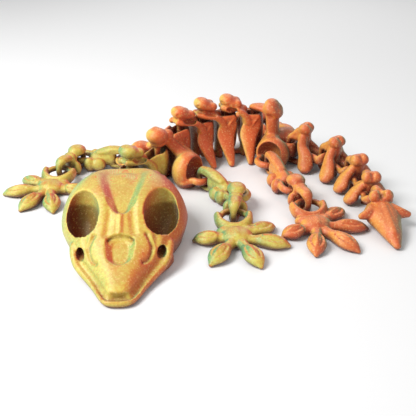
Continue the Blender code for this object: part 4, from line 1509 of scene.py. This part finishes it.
@dataclass
class Studio:
    """Pale floor, soft lights and the camera at the photograph's place."""

    lamps: tuple[Lamp, ...] = (
        Lamp("key", (-0.34, -0.14, 0.44), 0.28, 3.1),
        Lamp("fill", (0.45, -0.35, 0.30), 0.50, 0.35),
        Lamp("back", (0.10, 0.50, 0.40), 0.40, 0.8),
    )
    sky: float = 0.34
    floor_half: float = 3.0
    floor_drop: float = 0.00005
    distance: float = 0.264
    elevation: float = 30.0
    focal: float = 579.0
    frame: float = 416.0

    def floor(self) -> None:
        """Lay a wide pale floor just under the toy."""
        form = bmesh.new()
        bmesh.ops.create_grid(form, x_segments=1, y_segments=1, size=self.floor_half,
                              matrix=Matrix.Translation((0.0, 0.0, -self.floor_drop)))
        ground = as_object("floor", form)
        nodes = Nodes("floor_paint")
        nodes.shader.inputs["Base Color"].default_value = (0.93, 0.93, 0.93, 1.0)
        nodes.shader.inputs["Roughness"].default_value = 0.9
        ground.data.materials.append(nodes.material)

    def lights(self) -> None:
        """A large key light, a fill and an even pale sky."""
        for lamp in self.lamps:
            light = bpy.data.lights.new(lamp.name, "AREA")
            light.size = lamp.size
            light.energy = lamp.power
            obj = bpy.data.objects.new(lamp.name, light)
            obj.location = lamp.place
            obj.rotation_euler = (-Vector(lamp.place)).to_track_quat("-Z", "Y").to_euler()
            bpy.context.scene.collection.objects.link(obj)
        world = bpy.data.worlds.new("sky")
        world.use_nodes = True
        background = world.node_tree.nodes["Background"]
        background.inputs["Color"].default_value = (1.0, 1.0, 1.0, 1.0)
        background.inputs["Strength"].default_value = self.sky
        bpy.context.scene.world = world

    def camera(self) -> None:
        """Set the camera up at the photograph's viewing angle."""
        lens = bpy.data.cameras.new("photo_camera")
        lens.sensor_width = 36.0
        lens.lens = self.focal / self.frame * lens.sensor_width
        lens.clip_start = 0.001
        obj = bpy.data.objects.new("photo_camera", lens)
        lift = math.radians(self.elevation)
        aim = Vector((-CENTRE[0] * MM, -CENTRE[1] * MM, 0.0))
        obj.location = aim + Vector((0.0, -self.distance * math.cos(lift), self.distance * math.sin(lift)))
        obj.rotation_euler = (math.pi / 2 - lift, 0.0, 0.0)
        bpy.context.scene.collection.objects.link(obj)
        bpy.context.scene.camera = obj

    def build(self) -> None:
        """Set up floor, lights and camera."""
        self.floor()
        self.lights()
        self.camera()
        bpy.context.scene.view_settings.view_transform = "Standard"


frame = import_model()


def main() -> None:
    """Build the studio and every bone, and note the sizes."""
    logging.basicConfig(level=logging.INFO, format="%(name)s: %(message)s")
    Studio().build()
    for bone in Toy().bones():
        bone.build()


if __name__ == "__main__":
    main()
